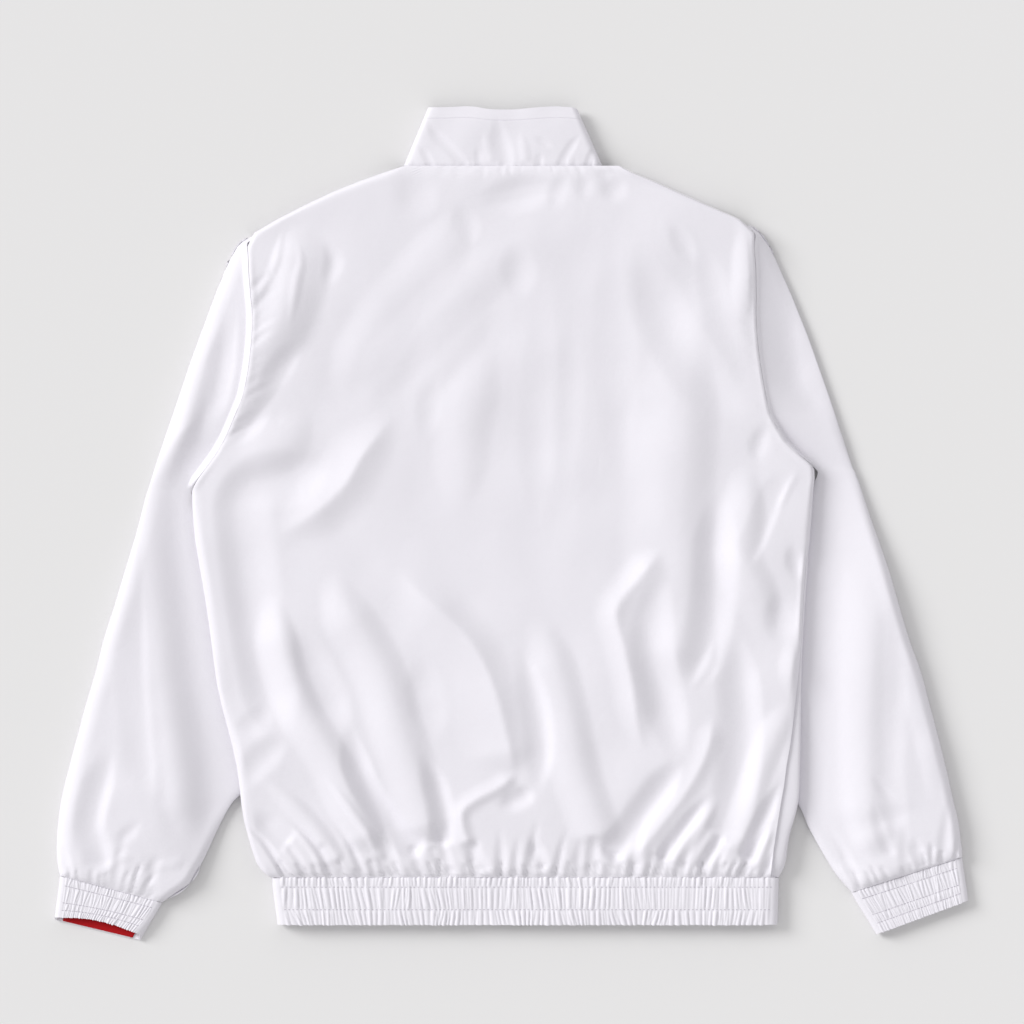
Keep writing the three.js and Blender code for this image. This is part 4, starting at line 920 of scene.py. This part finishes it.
class JacketStage(bpy.types.PropertyGroup):
    """Floor, light and camera."""

    floor_colour: bpy.props.FloatVectorProperty(
        name="Floor colour", description="Colour of the floor",
        subtype="COLOR", size=3, default=(0.79, 0.785, 0.785),
    )
    key_power: bpy.props.FloatProperty(
        name="Key light", description="Strength of the light from the upper left",
        default=2.1, min=0,
    )
    key_height: bpy.props.FloatProperty(
        name="Key height", description="Height of the light above the floor",
        subtype="ANGLE", default=math.radians(30),
    )
    key_turn: bpy.props.FloatProperty(
        name="Key direction", description="How far the light stands from the left towards the collar",
        subtype="ANGLE", default=math.radians(25),
    )
    key_size: bpy.props.FloatProperty(
        name="Key softness", description="Angle that the light spans",
        subtype="ANGLE", default=math.radians(28),
    )
    fill: bpy.props.FloatProperty(
        name="Fill light", description="Strength of the light from all round",
        default=0.668, min=0,
    )
    view_width: bpy.props.FloatProperty(
        name="View width", description="Width of the view at the jacket",
        subtype="DISTANCE", default=0.9523,
    )
    distance: bpy.props.FloatProperty(
        name="Camera distance", description="Height of the camera above the jacket",
        subtype="DISTANCE", default=8,
    )


BACK_ROWS, BACK_COLS = 228, 214


class JACKET_OT_back(bpy.types.Operator):
    """Model the back with its folds"""

    bl_idname = "jacket.back"
    bl_label = "Back"

    def execute(self, context):
        settings = context.scene.jacket_cloth
        y = mix(NECK_Y, HEM_Y, edged(BACK_ROWS, 0.25))[:, None]
        left, right = (read(OUTLINE, y, COLUMN[side]) for side in ("left", "right"))
        x = mix(left, right, edged(BACK_COLS, 0.3)[None, :])
        y = np.broadcast_to(y, x.shape)
        points = np.dstack([x, y, back_height(x, y)])
        piece = grid_mesh("back_cloth", points, settings.wall, (0.5, 1), shell_cloth(settings))
        dress(piece, "back_panel")
        return {"FINISHED"}


SLEEVE_ROWS = 190
SLEEVE_TOP_COLS, SLEEVE_UNDER_COLS = 84, 20
WIDEST_ROLL = 0.12


class JACKET_OT_sleeves(bpy.types.Operator):
    """Model both sleeves, from the armhole over the outer fold and back beneath"""

    bl_idname = "jacket.sleeves"
    bl_label = "Sleeves"

    def sleeve(self, side, settings):
        rows = table_at(SLEEVES[side], np.linspace(0, len(SLEEVES[side]) - 1, SLEEVE_ROWS))
        away = SIGN[side]
        outer_x, outer_y, inner_x, inner_y = (rows[:, k][:, None] for k in range(4))
        end_x = inner_x + away * GAP
        share = edged(SLEEVE_TOP_COLS, 0.6)[::-1][None, :]
        x, y = mix(outer_x, end_x, share), mix(outer_y, inner_y, share)
        top = np.dstack([x, y, sleeve_top(side, x, y)])
        open_ = inner_y >= UNDERARM[side]
        hidden_x, hidden_z = hidden_armhole(side, np.minimum(inner_y, SHOULDER_END[side]))
        low_x = np.where(open_, hidden_x + away * GAP, end_x)
        roll = np.minimum(WIDEST_ROLL, BOTTOM_ROLL / np.abs(low_x - outer_x))
        last_z = np.where(open_, hidden_z, SLEEVE_SEAM - 2 * settings.wall - GAP)
        t = edged(SLEEVE_UNDER_COLS, 0.7)[None, 1:]
        x, y = mix(outer_x, low_x, t), mix(outer_y, inner_y, t)
        edge = SLEEVE_EDGE * (1 - quarter_round(t / roll))
        z = edge + last_z * smooth((t - 1 + roll) / roll)
        under = np.dstack([x, y, z])
        points = np.concatenate([top, under], axis=1)
        name = "sleeve_" + side
        piece = grid_mesh(name + "_cloth", points, settings.wall, (0.4, 1), shell_cloth(settings))
        dress(piece, name)

    def execute(self, context):
        for side in SLEEVES:
            self.sleeve(side, context.scene.jacket_cloth)
        return {"FINISHED"}


FRONT_YS = (
    329, 318, 296, 270, 262, 247, 212, 180, 148, 117, 90, 64, 52, 31, 16, 0,
    -36, -74, -112, -150, -188, -225, -260, -291, -316, -329,
)
SHOULDER_CORNER = 5
FRONT_ROLL = {"open": 12, "shoulder": 24, "side": 16}
ROLL_SHARE = {"open": 0.3, "shoulder": 0.6, "side": 0.3}
FRONT_TUCK = 3
OPEN_SHARES = (0, 0.25, 0.5, 0.75, 1)
SIDE_TURNS = (-90, -15, 45, 90)
EDGE_LIFT = 0.6
TURN_START = -60
TURN_GROWTH = 45
ZIP_STEPS = (0, 11, 38)
ZIP_STEPS_SHARE = 0.4
FOLD_STEPS = (36, 25, 12)
FOLD_SPACE = 5
NARROW_ROW = 90
FRONT_ROWS, FRONT_COLS = 151, 91

# Creases of the fronts: height, and the shares of the width where they start, end and fade
FRONT_CREASE = 0.55
CREASE_START, CREASE_END, CREASE_FADE = 0.15, 0.55, 0.2


class JACKET_OT_fronts(bpy.types.Operator):
    """Model both fronts, beneath, from the zip to the side seam"""

    bl_idname = "jacket.fronts"
    bl_label = "Fronts"

    def inner_fold(self, side, y):
        rows = SLEEVES[side][SLEEVES[side][:, 3] <= UNDERARM[side]]
        at = np.interp(-min(y, UNDERARM[side]), -rows[:, 3], rows[:, 2])
        return at + SIGN[side] * max(0, y - UNDERARM[side])

    def row(self, side, y, settings):
        away = SIGN[side]
        start = float(read(NECK_DROP, y, COLUMN[side]))
        is_open = y >= UNDERARM[side]
        shoulder = y > SHOULDER_END[side] + SHOULDER_CORNER
        seam = float(read(OUTLINE, y, COLUMN[side]))
        free = float(read(OUTLINE, y, FRONT_COLUMN)) if side == "right" else seam + 1
        hidden_x, hidden_z = (float(v) for v in hidden_armhole(side, y))
        edge = seam - away if shoulder else hidden_x if is_open else free
        width = abs(edge - start)
        kind = "shoulder" if shoulder else "open" if is_open else "side"
        roll = min(FRONT_ROLL[kind], width * ROLL_SHARE[kind])
        flat = width - roll
        to_fold = abs(self.inner_fold(side, y) - start)
        last = ZIP_STEPS[-1]
        space = FOLD_SPACE * min(1, width / NARROW_ROW)
        steps = [d / last * min(last, flat * ZIP_STEPS_SHARE) for d in ZIP_STEPS]
        steps += [min(to_fold - d, flat - space * (len(FOLD_STEPS) - k)) for k, d in enumerate(FOLD_STEPS)]

        def height(x):
            past = away * (self.inner_fold(side, y) - x)
            over = 1 - smooth((past - SLEEVE_CLEAR[0]) / (SLEEVE_CLEAR[1] - SLEEVE_CLEAR[0]))
            lift = float(zip_lift(x))
            return lift if shoulder else max(lift, FRONT_OVER_SLEEVE * float(over))

        line = [(start + away * d, y, height(start + away * d)) for d in steps]
        if is_open:
            low = height(start + away * flat)
            rise = (SHOULDER_HEIGHT - 2 * settings.wall - LAP_GAP) * roll / FRONT_ROLL["shoulder"]
            rise = rise if shoulder else hidden_z
            for s in OPEN_SHARES:
                z = mix(low, max(low, rise), s if shoulder else s * s)
                line.append((start + away * (flat + roll * s), y, z))
            return line
        low = height(edge) + EDGE_LIFT
        top = float(seam_height(np.array([seam]), np.array([y]))[0]) - settings.wall - LAP_GAP
        half = (top - low) / 2
        closing = mix(TURN_START, 90, float(smooth((UNDERARM[side] - y) / TURN_GROWTH)))
        line.append((start + away * flat, y, height(start + away * flat)))
        for step in SIDE_TURNS:
            turn = math.radians(mix(-90, closing, (step + 90) / 180))
            x = edge - away * half * (1 - math.cos(turn))
            tucked = away * min(away * x, away * seam - FRONT_TUCK)
            share = max(0, closing / 90) ** 2 if step == 90 else 0
            line.append((mix(x, tucked, share), y, low + half + half * math.sin(turn)))
        return line

    def execute(self, context):
        settings = context.scene.jacket_cloth
        for side in SLEEVES:
            coarse = np.array([self.row(side, float(y), settings) for y in FRONT_YS])
            points = refine(coarse, FRONT_ROWS, FRONT_COLS)
            each = (FRONT_COLS - 1) // (coarse.shape[1] - 1)
            for first in range(0, each * (len(ZIP_STEPS) + len(FOLD_STEPS)), each):
                ends = points[:, first, 0], points[:, first + each, 0]
                points[:, first:first + each, 0] = np.linspace(*ends, each + 1, axis=1)[:, :-1]
            x, y = points[..., 0], points[..., 1]
            across = np.linspace(0, 1, FRONT_COLS)[None, :]
            inside = smooth(across / CREASE_START) * smooth((CREASE_END - across) / CREASE_FADE)
            creased = np.maximum(0, cloth_waves(x, y, FRONT_WAVES, 51))
            points[..., 2] = np.maximum(points[..., 2], 0) + FRONT_CREASE * creased * inside
            name = "front_" + side
            piece = grid_mesh(name + "_cloth", points, settings.wall, (0.3, -1), shell_cloth(settings))
            dress(piece, name)
        return {"FINISHED"}


# Pleats of a band: spread of their widths and heights, how round they are and how deep between them
PLEAT_WIDTHS = (0.6, 1.5)
PLEAT_HEIGHTS = (0.35, 1.25)
PLEAT_ROUND = 0.7
HOLLOW = 0.35


def gathers(share, count, seed):
    """Uneven pleats along a band: below 0 in the hollows, about 1 on the crests."""
    rng = np.random.default_rng(seed)
    widths = rng.uniform(*PLEAT_WIDTHS, count)
    ends = np.concatenate([[0], np.cumsum(widths)]) / widths.sum()
    heights = rng.uniform(*PLEAT_HEIGHTS, count)
    k = np.clip(np.searchsorted(ends, share, side="right") - 1, 0, count - 1)
    within = (share - ends[k]) / (ends[k + 1] - ends[k])
    crest = np.sin(np.pi * np.clip(within, 0, 1)) ** PLEAT_ROUND
    return heights[k] * crest * (1 + HOLLOW) - HOLLOW


# Between two rows of stitches: share of own pleats, how many more, and how all of them lean
OWN_PLEATS = 0.5
MORE_PLEATS = 3
LEAN = 0.9
LEAN_RUN = (8, 60)
LEAN_START = (0, 6)
COMMON_LEAN = 0.4

# How a row of stitches pinches the pleats: width, depth and what is left at the least
PINCH = 0.05
PINCH_DEPTH = 0.5
LEAST_PLEAT = 0.2


def band_relief(share, along, count, stitch_rows, seed):
    """Height of a gathered band: its pleats part and join where rows of stitches cross them."""
    zone = int(np.searchsorted(stitch_rows, along))
    marks = [0, *stitch_rows, 1]
    middle = (marks[zone] + marks[zone + 1]) / 2
    rng = np.random.default_rng(seed + 100 * (zone + 1))
    turns = sum(np.sin(share * rng.uniform(*LEAN_RUN) + rng.uniform(*LEAN_START)) for _ in range(4))
    shift = turns * LEAN / count * (along - middle)
    own = gathers(np.clip(share + shift, 0, 1), count + MORE_PLEATS * zone, seed + zone + 1)
    common = gathers(np.clip(share + COMMON_LEAN * shift, 0, 1), count, seed)
    pinch = 1 - PINCH_DEPTH * sum(math.exp(-(((along - row) / PINCH) ** 2)) for row in stitch_rows)
    return mix(common, own, OWN_PLEATS) * max(LEAST_PLEAT, pinch)


# Height of the stitches above the cloth, and the length and gap of the stitches of each band
STITCH_LIFT = 0.12
HEM_STITCH = (1.6, 2.2)
CUFF_STITCH = (2.0, 1.2)


def sew(name, lines, length, gap, radius, material):
    """Rows of short thread stitches lying along lines of points in millimetres."""
    mesh = bmesh.new()
    for line in lines:
        line = np.asarray(line, float)
        run = np.concatenate([[0], np.cumsum(np.linalg.norm(line[1:] - line[:-1], axis=1))])
        for start in np.arange(gap, run[-1] - length, length + gap):
            at = (start, start + length)
            first, last = (Vector([float(np.interp(d, run, line[:, k])) for k in range(3)]) for d in at)
            middle, along = (first + last) / 2, last - first
            if along.length < 1e-6:
                continue
            place = Matrix.Translation(middle * MM) @ along.to_track_quat("Z", "Y").to_matrix().to_4x4()
            bmesh.ops.create_cone(
                mesh, cap_ends=True, segments=6, radius1=radius * MM, radius2=radius * MM,
                depth=along.length * MM, matrix=place,
            )
    piece = finished(name, mesh, material)
    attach(piece, BODY)
    return piece


HEM_MESH_ROWS = 45
HEM_MESH_COLS = HEM_PLEATS * 8
HEM_STITCHES = (0.2, 0.6)
HEM_UNDER_COLS = 60
HEM_DEEP = 1.35
HEM_ENDS = 0.01
HEM_SAG = 0.55
HEM_SAG_LENGTH = 140

# Turns of a band round its ends, in degrees
TURNS = (-90, -65, -40, -15, 10, 35, 60)

# Edges of a band: shares at its seam and at its free edge, scalloping, and the tuck into its seam
SEAM_SHARE = 0.08
EDGE_SHARE = 0.14
SCALLOP = 0.8
TUCK = 1.5
TUCK_SHARE = 0.035


class JACKET_OT_hem(bpy.types.Operator):
    """Model the elastic hem band with its gathers"""

    bl_idname = "jacket.hem"
    bl_label = "Hem band"

    def face(self, share, along):
        """Points on the band's outer face."""
        y, left, right = table_at(HEM_ROWS, np.array([along * (len(HEM_ROWS) - 1)]))[0]
        x = mix(left + HEM_TURN, right - HEM_TURN, share)
        ends = smooth(share / HEM_ENDS) * smooth((1 - share) / HEM_ENDS)
        relief = band_relief(share, along, HEM_PLEATS, HEM_STITCHES, 5) * ends
        lower = smooth((along - 1 + EDGE_SHARE) / EDGE_SHARE) - smooth((SEAM_SHARE - along) / SEAM_SHARE)
        sag = HEM_SAG * rumple(x, x * 0, HEM_SAG_LENGTH, 61) * math.sin(math.pi * along)
        tuck = float(smooth((TUCK_SHARE - along) / TUCK_SHARE))
        z = HEM_HEIGHT + HEM_DEEP * relief + sag * ends - TUCK * tuck
        return np.stack([x, y - SCALLOP * relief * lower + TUCK * tuck, z], 1), left, right, y

    def execute(self, context):
        settings = context.scene.jacket_cloth
        share = np.linspace(0, 1, HEM_MESH_COLS)
        half = HEM_HEIGHT / 2
        lines = []
        for along in np.linspace(0, 1, HEM_MESH_ROWS):
            upper, left, right, y = self.face(share, along)

            def under(start, end):
                x = np.linspace(start, end, HEM_UNDER_COLS)
                return np.stack([x, np.full(x.shape, y), zip_lift(x)], 1)

            def turned(end, away, turns):
                a = np.radians(turns)
                x, z = end + away * HEM_TURN * (np.cos(a) - 1), half + half * np.sin(a)
                return np.stack([x, np.full(x.shape, y), z], 1)

            lines.append(np.concatenate([
                under(ZIP_X - ZIP_HALF_GAP, left + HEM_TURN)[:-1], turned(left, -1, TURNS), upper,
                turned(right, 1, TURNS[::-1]), under(right - HEM_TURN, ZIP_X + ZIP_HALF_GAP)[1:],
            ]))
        points = np.array(lines)
        piece = grid_mesh("hem_band_cloth", points, settings.band_wall, (0.5, 1), band_cloth(settings))
        dress(piece, "hem_band")
        rows = [self.face(share, along)[0] + (0, 0, STITCH_LIFT) for along in HEM_STITCHES]
        sew("hem_stitches", rows, *HEM_STITCH, settings.thread, thread_material(settings))
        return {"FINISHED"}


CUFF_MESH_ROWS = 37
CUFF_MESH_COLS = CUFF_PLEATS * 9
CUFF_STITCHES = (0.27, 0.62, 0.8)
CUFF_DEEP = {"left": 1.0, "right": 1.15}
CUFF_ENDS = 0.03
CUFF_SEED = {"left": 8, "right": 9}

# Shares across a cuff's lower layer, before and after its upper face
UNDER_START = {"left": np.linspace(0.93, 0.03, 24), "right": np.linspace(0.07, 0.03, 3)}
UNDER_STOP = {"left": np.array([0.96]), "right": np.linspace(0.93, 0.12, 20)}

LINING_ROWS, LINING_COLS = 13, 60
LINING_SHARES = (0.04, 0.96)
LINING_INSET = 0.8


class JACKET_OT_cuffs(bpy.types.Operator):
    """Model both elastic cuffs and the red lining that shows in the left one"""

    bl_idname = "jacket.cuffs"
    bl_label = "Cuffs"

    def line(self, side, along, share):
        """One row of points round a cuff, and those of them on its upper face."""
        at_row = np.array([along * (len(CUFFS[side]) - 1)])
        left_x, left_y, right_x, right_y, low_left, low_right = table_at(CUFFS[side], at_row)[0]
        dip = float(np.interp(at_row[0], range(4), CUFF_DIP)) if side == "left" else 0
        half = CUFF_HEIGHT / 2
        first, last = left_x + CUFF_TURN, right_x - CUFF_TURN

        def upper(x, z, shift=0):
            s = np.clip((x - left_x) / (right_x - left_x), 0, 1)
            return np.stack([x, mix(left_y, right_y, s) + dip * np.sin(np.pi * s) - shift, z + x * 0], 1)

        def lower(x, z):
            s = (x - left_x) / (right_x - left_x)
            return np.stack([x, mix(low_left, low_right, s), z + x * 0], 1)

        def turned(end, away, turns):
            a = np.radians(turns)
            x, z = end + away * CUFF_TURN * (np.cos(a) - 1), half + half * np.sin(a)
            return np.where((a < 0)[:, None], lower(x, z), upper(x, z))

        ends = smooth(share / CUFF_ENDS) * smooth((1 - share) / CUFF_ENDS)
        relief = band_relief(share, along, CUFF_PLEATS, CUFF_STITCHES, CUFF_SEED[side]) * ends
        tuck = TUCK * float(smooth((TUCK_SHARE - along) / TUCK_SHARE)) * ends
        scallop = SCALLOP * relief * float(smooth((along - 1 + EDGE_SHARE) / EDGE_SHARE))
        face = upper(mix(first, last, share), CUFF_HEIGHT + CUFF_DEEP[side] * relief - tuck, scallop - tuck)
        start = lower(mix(first, last, UNDER_START[side]), 0)
        start[0, 0] -= GAP
        stop = lower(mix(first, last, UNDER_STOP[side]), 0)
        row = [start, turned(left_x, -1, TURNS), face, turned(right_x, 1, TURNS[::-1]), stop]
        return np.concatenate(row), face

    def execute(self, context):
        settings = context.scene.jacket_cloth
        share = np.linspace(0, 1, CUFF_MESH_COLS)
        for side in CUFFS:
            down = np.linspace(0, 1, CUFF_MESH_ROWS)
            points = np.array([self.line(side, along, share)[0] for along in down])
            name = "cuff_" + side
            piece = grid_mesh(name + "_cloth", points, settings.band_wall, (0.5, 1), band_cloth(settings))
            dress(piece, name)
            rows = [self.line(side, along, share)[1] + (0, 0, STITCH_LIFT) for along in CUFF_STITCHES]
            sew(name + "_stitches", rows, *CUFF_STITCH, settings.thread, thread_material(settings))
        rows = CUFFS["left"][1:]
        across = np.linspace(*LINING_SHARES, LINING_COLS)
        height = settings.band_wall + GAP + settings.lining_wall
        lines = []
        for i, row in enumerate(rows):
            x = mix(row[0] + CUFF_TURN, row[2] - CUFF_TURN, across)
            along = (x - row[0]) / (row[2] - row[0])
            inset = LINING_INSET if i == len(rows) - 1 else 0
            y = mix(row[4], row[5], along) + inset
            lines.append(np.stack([x, y, np.full(x.shape, height)], 1))
        points = refine(np.array(lines), LINING_ROWS, LINING_COLS)
        piece = grid_mesh("cuff_lining_cloth", points, settings.lining_wall, (0.5, 1), lining_cloth(settings))
        dress(piece, "cuff_lining_left")
        return {"FINISHED"}


# The collar's outer face begins above this height, over this rise
OUTER_FROM, OUTER_RISE = 9, 4

# How deep the collar's edge is sewn in, and how its top band leans and laps beneath it
COLLAR_TUCK = 0.35
SEWN_SHARE = 0.05
BAND_LEAN = 1.1
BAND_LAP = 0.7
BAND_OVERLAP = 0.02
LAP_SHARE, LAP_END = 0.03, 0.01
COLLAR_ROWS, BAND_ROWS = 49, 15
COLLAR_CREASE = 0.7
COLLAR_WAVES = ((60, 0.4),)

# Creases of the collar's outer face
COLLAR_FOLDS = [
    Fold(-1.5, 6, 8, ROUND, [(-79, 374), (-70, 362), (-56, 348), (-40, 330)], 0.3, 0.1),
    Fold(-1.1, 5, 6, ROUND, [(-88, 352), (-80, 344), (-74, 331)], 0.5, 0.1),
    Fold(-1.5, 9, 10, ROUND, [(-14, 380), (-11, 362), (-6, 346), (-4, 330)], 0.4, 0.1),
    Fold(1.1, 7, 7, ROUND, [(-24, 368), (-22, 352), (-18, 333)], 0.5, 0.2),
    Fold(-1.0, 5, 5, ROUND, [(18, 358), (27, 356), (40, 348)]),
    Fold(-1.3, 6, 6, ROUND, [(64, 362), (55, 350), (44, 331)], 0.4, 0.1),
    Fold(0.9, 6, 7, ROUND, [(8, 366), (12, 350), (14, 333)], 0.5, 0.2),
    Fold(-0.9, 5, 6, ROUND, [(28, 346), (26, 338), (25, 331)], 0.5, 0.1),
    Fold(-1.2, 6, 5, ROUND, [(78, 352), (74, 342), (70, 331)], 0.5, 0.1),
    Fold(-0.9, 5, 5, ROUND, [(-32, 352), (-31, 342), (-30, 331)], 0.5, 0.1),
] + puckers([(-94, 332), (0, 332), (82, 332)], 14, 8, (-0.3, 0.3), -0.5, 3, 71)


class JACKET_OT_collar(bpy.types.Operator):
    """Model the stand collar and its top band"""

    bl_idname = "jacket.collar"
    bl_label = "Collar"

    def strip(self, name, node, low, high, rows, settings, flat, tucked):
        cols = table_at(COLLAR, np.linspace(0, len(COLLAR) - 1, COLLAR_COLS))
        share = np.linspace(low, high, rows)[:, None]
        points = np.dstack([mix(cols[None, :, k], cols[None, :, k + 3], share) for k in range(3)])
        x, y, z = (points[..., k] for k in range(3))
        outer = smooth((z - OUTER_FROM) / OUTER_RISE)
        creased = fold_height(COLLAR_FOLDS, x, y) + cloth_waves(x, y, COLLAR_WAVES, 72)
        leaning = BAND_LEAN * np.maximum(0, share - BAND_FROM) / (1 - BAND_FROM)
        lapped = BAND_LAP * smooth((BAND_FROM + LAP_SHARE - share) / LAP_END) if tucked else 0
        sewn = COLLAR_TUCK * smooth(1 - share / SEWN_SHARE)
        points[..., 2] = np.maximum(z, 0) + outer * (COLLAR_CREASE * creased - sewn - leaning - lapped)
        points[..., 1] -= outer * sewn
        piece = grid_mesh(name, points, settings.collar_wall, (0.5, 1), shell_cloth(settings))
        dress(piece, node)

    def execute(self, context):
        settings = context.scene.jacket_cloth
        top = BAND_FROM + BAND_OVERLAP
        self.strip("collar_cloth", "collar", 0, top, COLLAR_ROWS, settings, (0.42, 0.045), False)
        self.strip("collar_band_cloth", "collar_band", BAND_FROM, 1, BAND_ROWS, settings, (0.34, 0.013), True)
        return {"FINISHED"}


TEETH_FROM, TEETH_TO = 298, -364
TOOTH_PITCH = 2.6
TOOTH = (3.2, 1.3, 3.4)
TOOTH_OFF = 0.9
TOOTH_BEVEL = 0.25
TEETH_HEIGHT = 6.4


class JACKET_OT_zip(bpy.types.Operator):
    """Finish the zip: its tapes, slider, pull and box"""

    bl_idname = "jacket.zip"
    bl_label = "Zip"

    def execute(self, context):
        settings = context.scene.jacket_cloth
        for node in ("zip_left", "zip_right"):
            self.finish(node, tape_cloth(settings))
        for node in ("zip_slider", "zip_pull", "zip_box"):
            self.finish(node, metal_material())
        mesh = bmesh.new()
        for k, y in enumerate(np.arange(TEETH_FROM, TEETH_TO, -TOOTH_PITCH)):
            side = 1 if k % 2 else -1
            size = Matrix.Diagonal((*(v * MM for v in TOOTH), 1))
            place = Vector((ZIP_X + side * TOOTH_OFF, float(y), TEETH_HEIGHT)) * MM
            made = bmesh.ops.create_cube(mesh, size=1, matrix=Matrix.Translation(place) @ size)
            edges = list({edge for vert in made["verts"] for edge in vert.link_edges})
            bmesh.ops.bevel(
                mesh, geom=edges, offset=TOOTH_BEVEL * MM, segments=1,
                profile=0.5, affect="EDGES", material=-1,
            )
        teeth = finished("zip_teeth", mesh, metal_material())
        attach(teeth, BODY)
        return {"FINISHED"}

    def finish(self, node, material):
        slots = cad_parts[node].material_slots
        if not slots:
            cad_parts[node].data.materials.append(material)
        for slot in slots:
            slot.material = material


# Metres: the floor's reach and depth beneath the jacket, and where the camera stands beside its middle
FLOOR_REACH = 12
FLOOR_DROP = 0.0004
CAMERA_OFF = (0.0005, 0.0107)
CAMERA_BASE = 0.01


class JACKET_OT_stage(bpy.types.Operator):
    """Set the floor, the light and the camera"""

    bl_idname = "jacket.stage"
    bl_label = "Stage"

    def execute(self, context):
        stage = context.scene.jacket_stage
        mesh = bmesh.new()
        bmesh.ops.create_grid(mesh, x_segments=1, y_segments=1, size=FLOOR_REACH)
        bmesh.ops.translate(mesh, vec=(0, 0, -FLOOR_DROP), verts=mesh.verts)
        material = bpy.data.materials.new("Floor")
        material.use_nodes = True
        shader = material.node_tree.nodes["Principled BSDF"]
        shader.inputs["Base Color"].default_value = (*stage.floor_colour, 1)
        shader.inputs["Roughness"].default_value = 0.9
        shader.inputs["Specular IOR Level"].default_value = 0.1
        finished("floor", mesh, material)
        world = bpy.data.worlds.new("Studio")
        world.use_nodes = True
        world.node_tree.nodes["Background"].inputs["Color"].default_value = (1, 0.995, 1, 1)
        world.node_tree.nodes["Background"].inputs["Strength"].default_value = stage.fill
        context.scene.world = world
        lamp = bpy.data.lights.new("Key", "SUN")
        lamp.energy = stage.key_power
        lamp.angle = stage.key_size
        key = bpy.data.objects.new("Key", lamp)
        flat = math.cos(stage.key_height)
        x, y = -flat * math.cos(stage.key_turn), flat * math.sin(stage.key_turn)
        towards = Vector((x, y, math.sin(stage.key_height)))
        key.rotation_euler = towards.to_track_quat("Z", "Y").to_euler()
        key.location = towards * 2
        context.scene.collection.objects.link(key)
        lens = bpy.data.cameras.new("Camera")
        lens.lens = lens.sensor_width * stage.distance / stage.view_width
        camera = bpy.data.objects.new("Camera", lens)
        camera.location = (*CAMERA_OFF, stage.distance + CAMERA_BASE)
        context.scene.collection.objects.link(camera)
        context.scene.camera = camera
        context.scene.view_settings.view_transform = "Standard"
        return {"FINISHED"}


class JACKET_PT_parts(bpy.types.Panel):
    """Lists the jacket's parts"""

    bl_idname = "JACKET_PT_parts"
    bl_label = "Jacket"
    bl_space_type = "VIEW_3D"
    bl_region_type = "UI"
    bl_category = "Jacket"

    def draw(self, context):
        for settings in (context.scene.jacket_cloth, context.scene.jacket_stage):
            for name in settings.__annotations__:
                self.layout.prop(settings, name)
        for part in PARTS:
            self.layout.operator(part.bl_idname)


PARTS = (
    JACKET_OT_stage, JACKET_OT_back, JACKET_OT_fronts, JACKET_OT_sleeves,
    JACKET_OT_hem, JACKET_OT_cuffs, JACKET_OT_collar, JACKET_OT_zip,
)
CLASSES = (JacketCloth, JacketStage, *PARTS, JACKET_PT_parts)


def register():
    for cls in CLASSES:
        bpy.utils.register_class(cls)
    bpy.types.Scene.jacket_cloth = bpy.props.PointerProperty(type=JacketCloth)
    bpy.types.Scene.jacket_stage = bpy.props.PointerProperty(type=JacketStage)


def unregister():
    del bpy.types.Scene.jacket_stage
    del bpy.types.Scene.jacket_cloth
    for cls in reversed(CLASSES):
        bpy.utils.unregister_class(cls)


def main():
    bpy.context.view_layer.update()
    register()
    for part in PARTS:
        group, name = part.bl_idname.split(".")
        getattr(getattr(bpy.ops, group), name)()


if __name__ == "__main__":
    main()
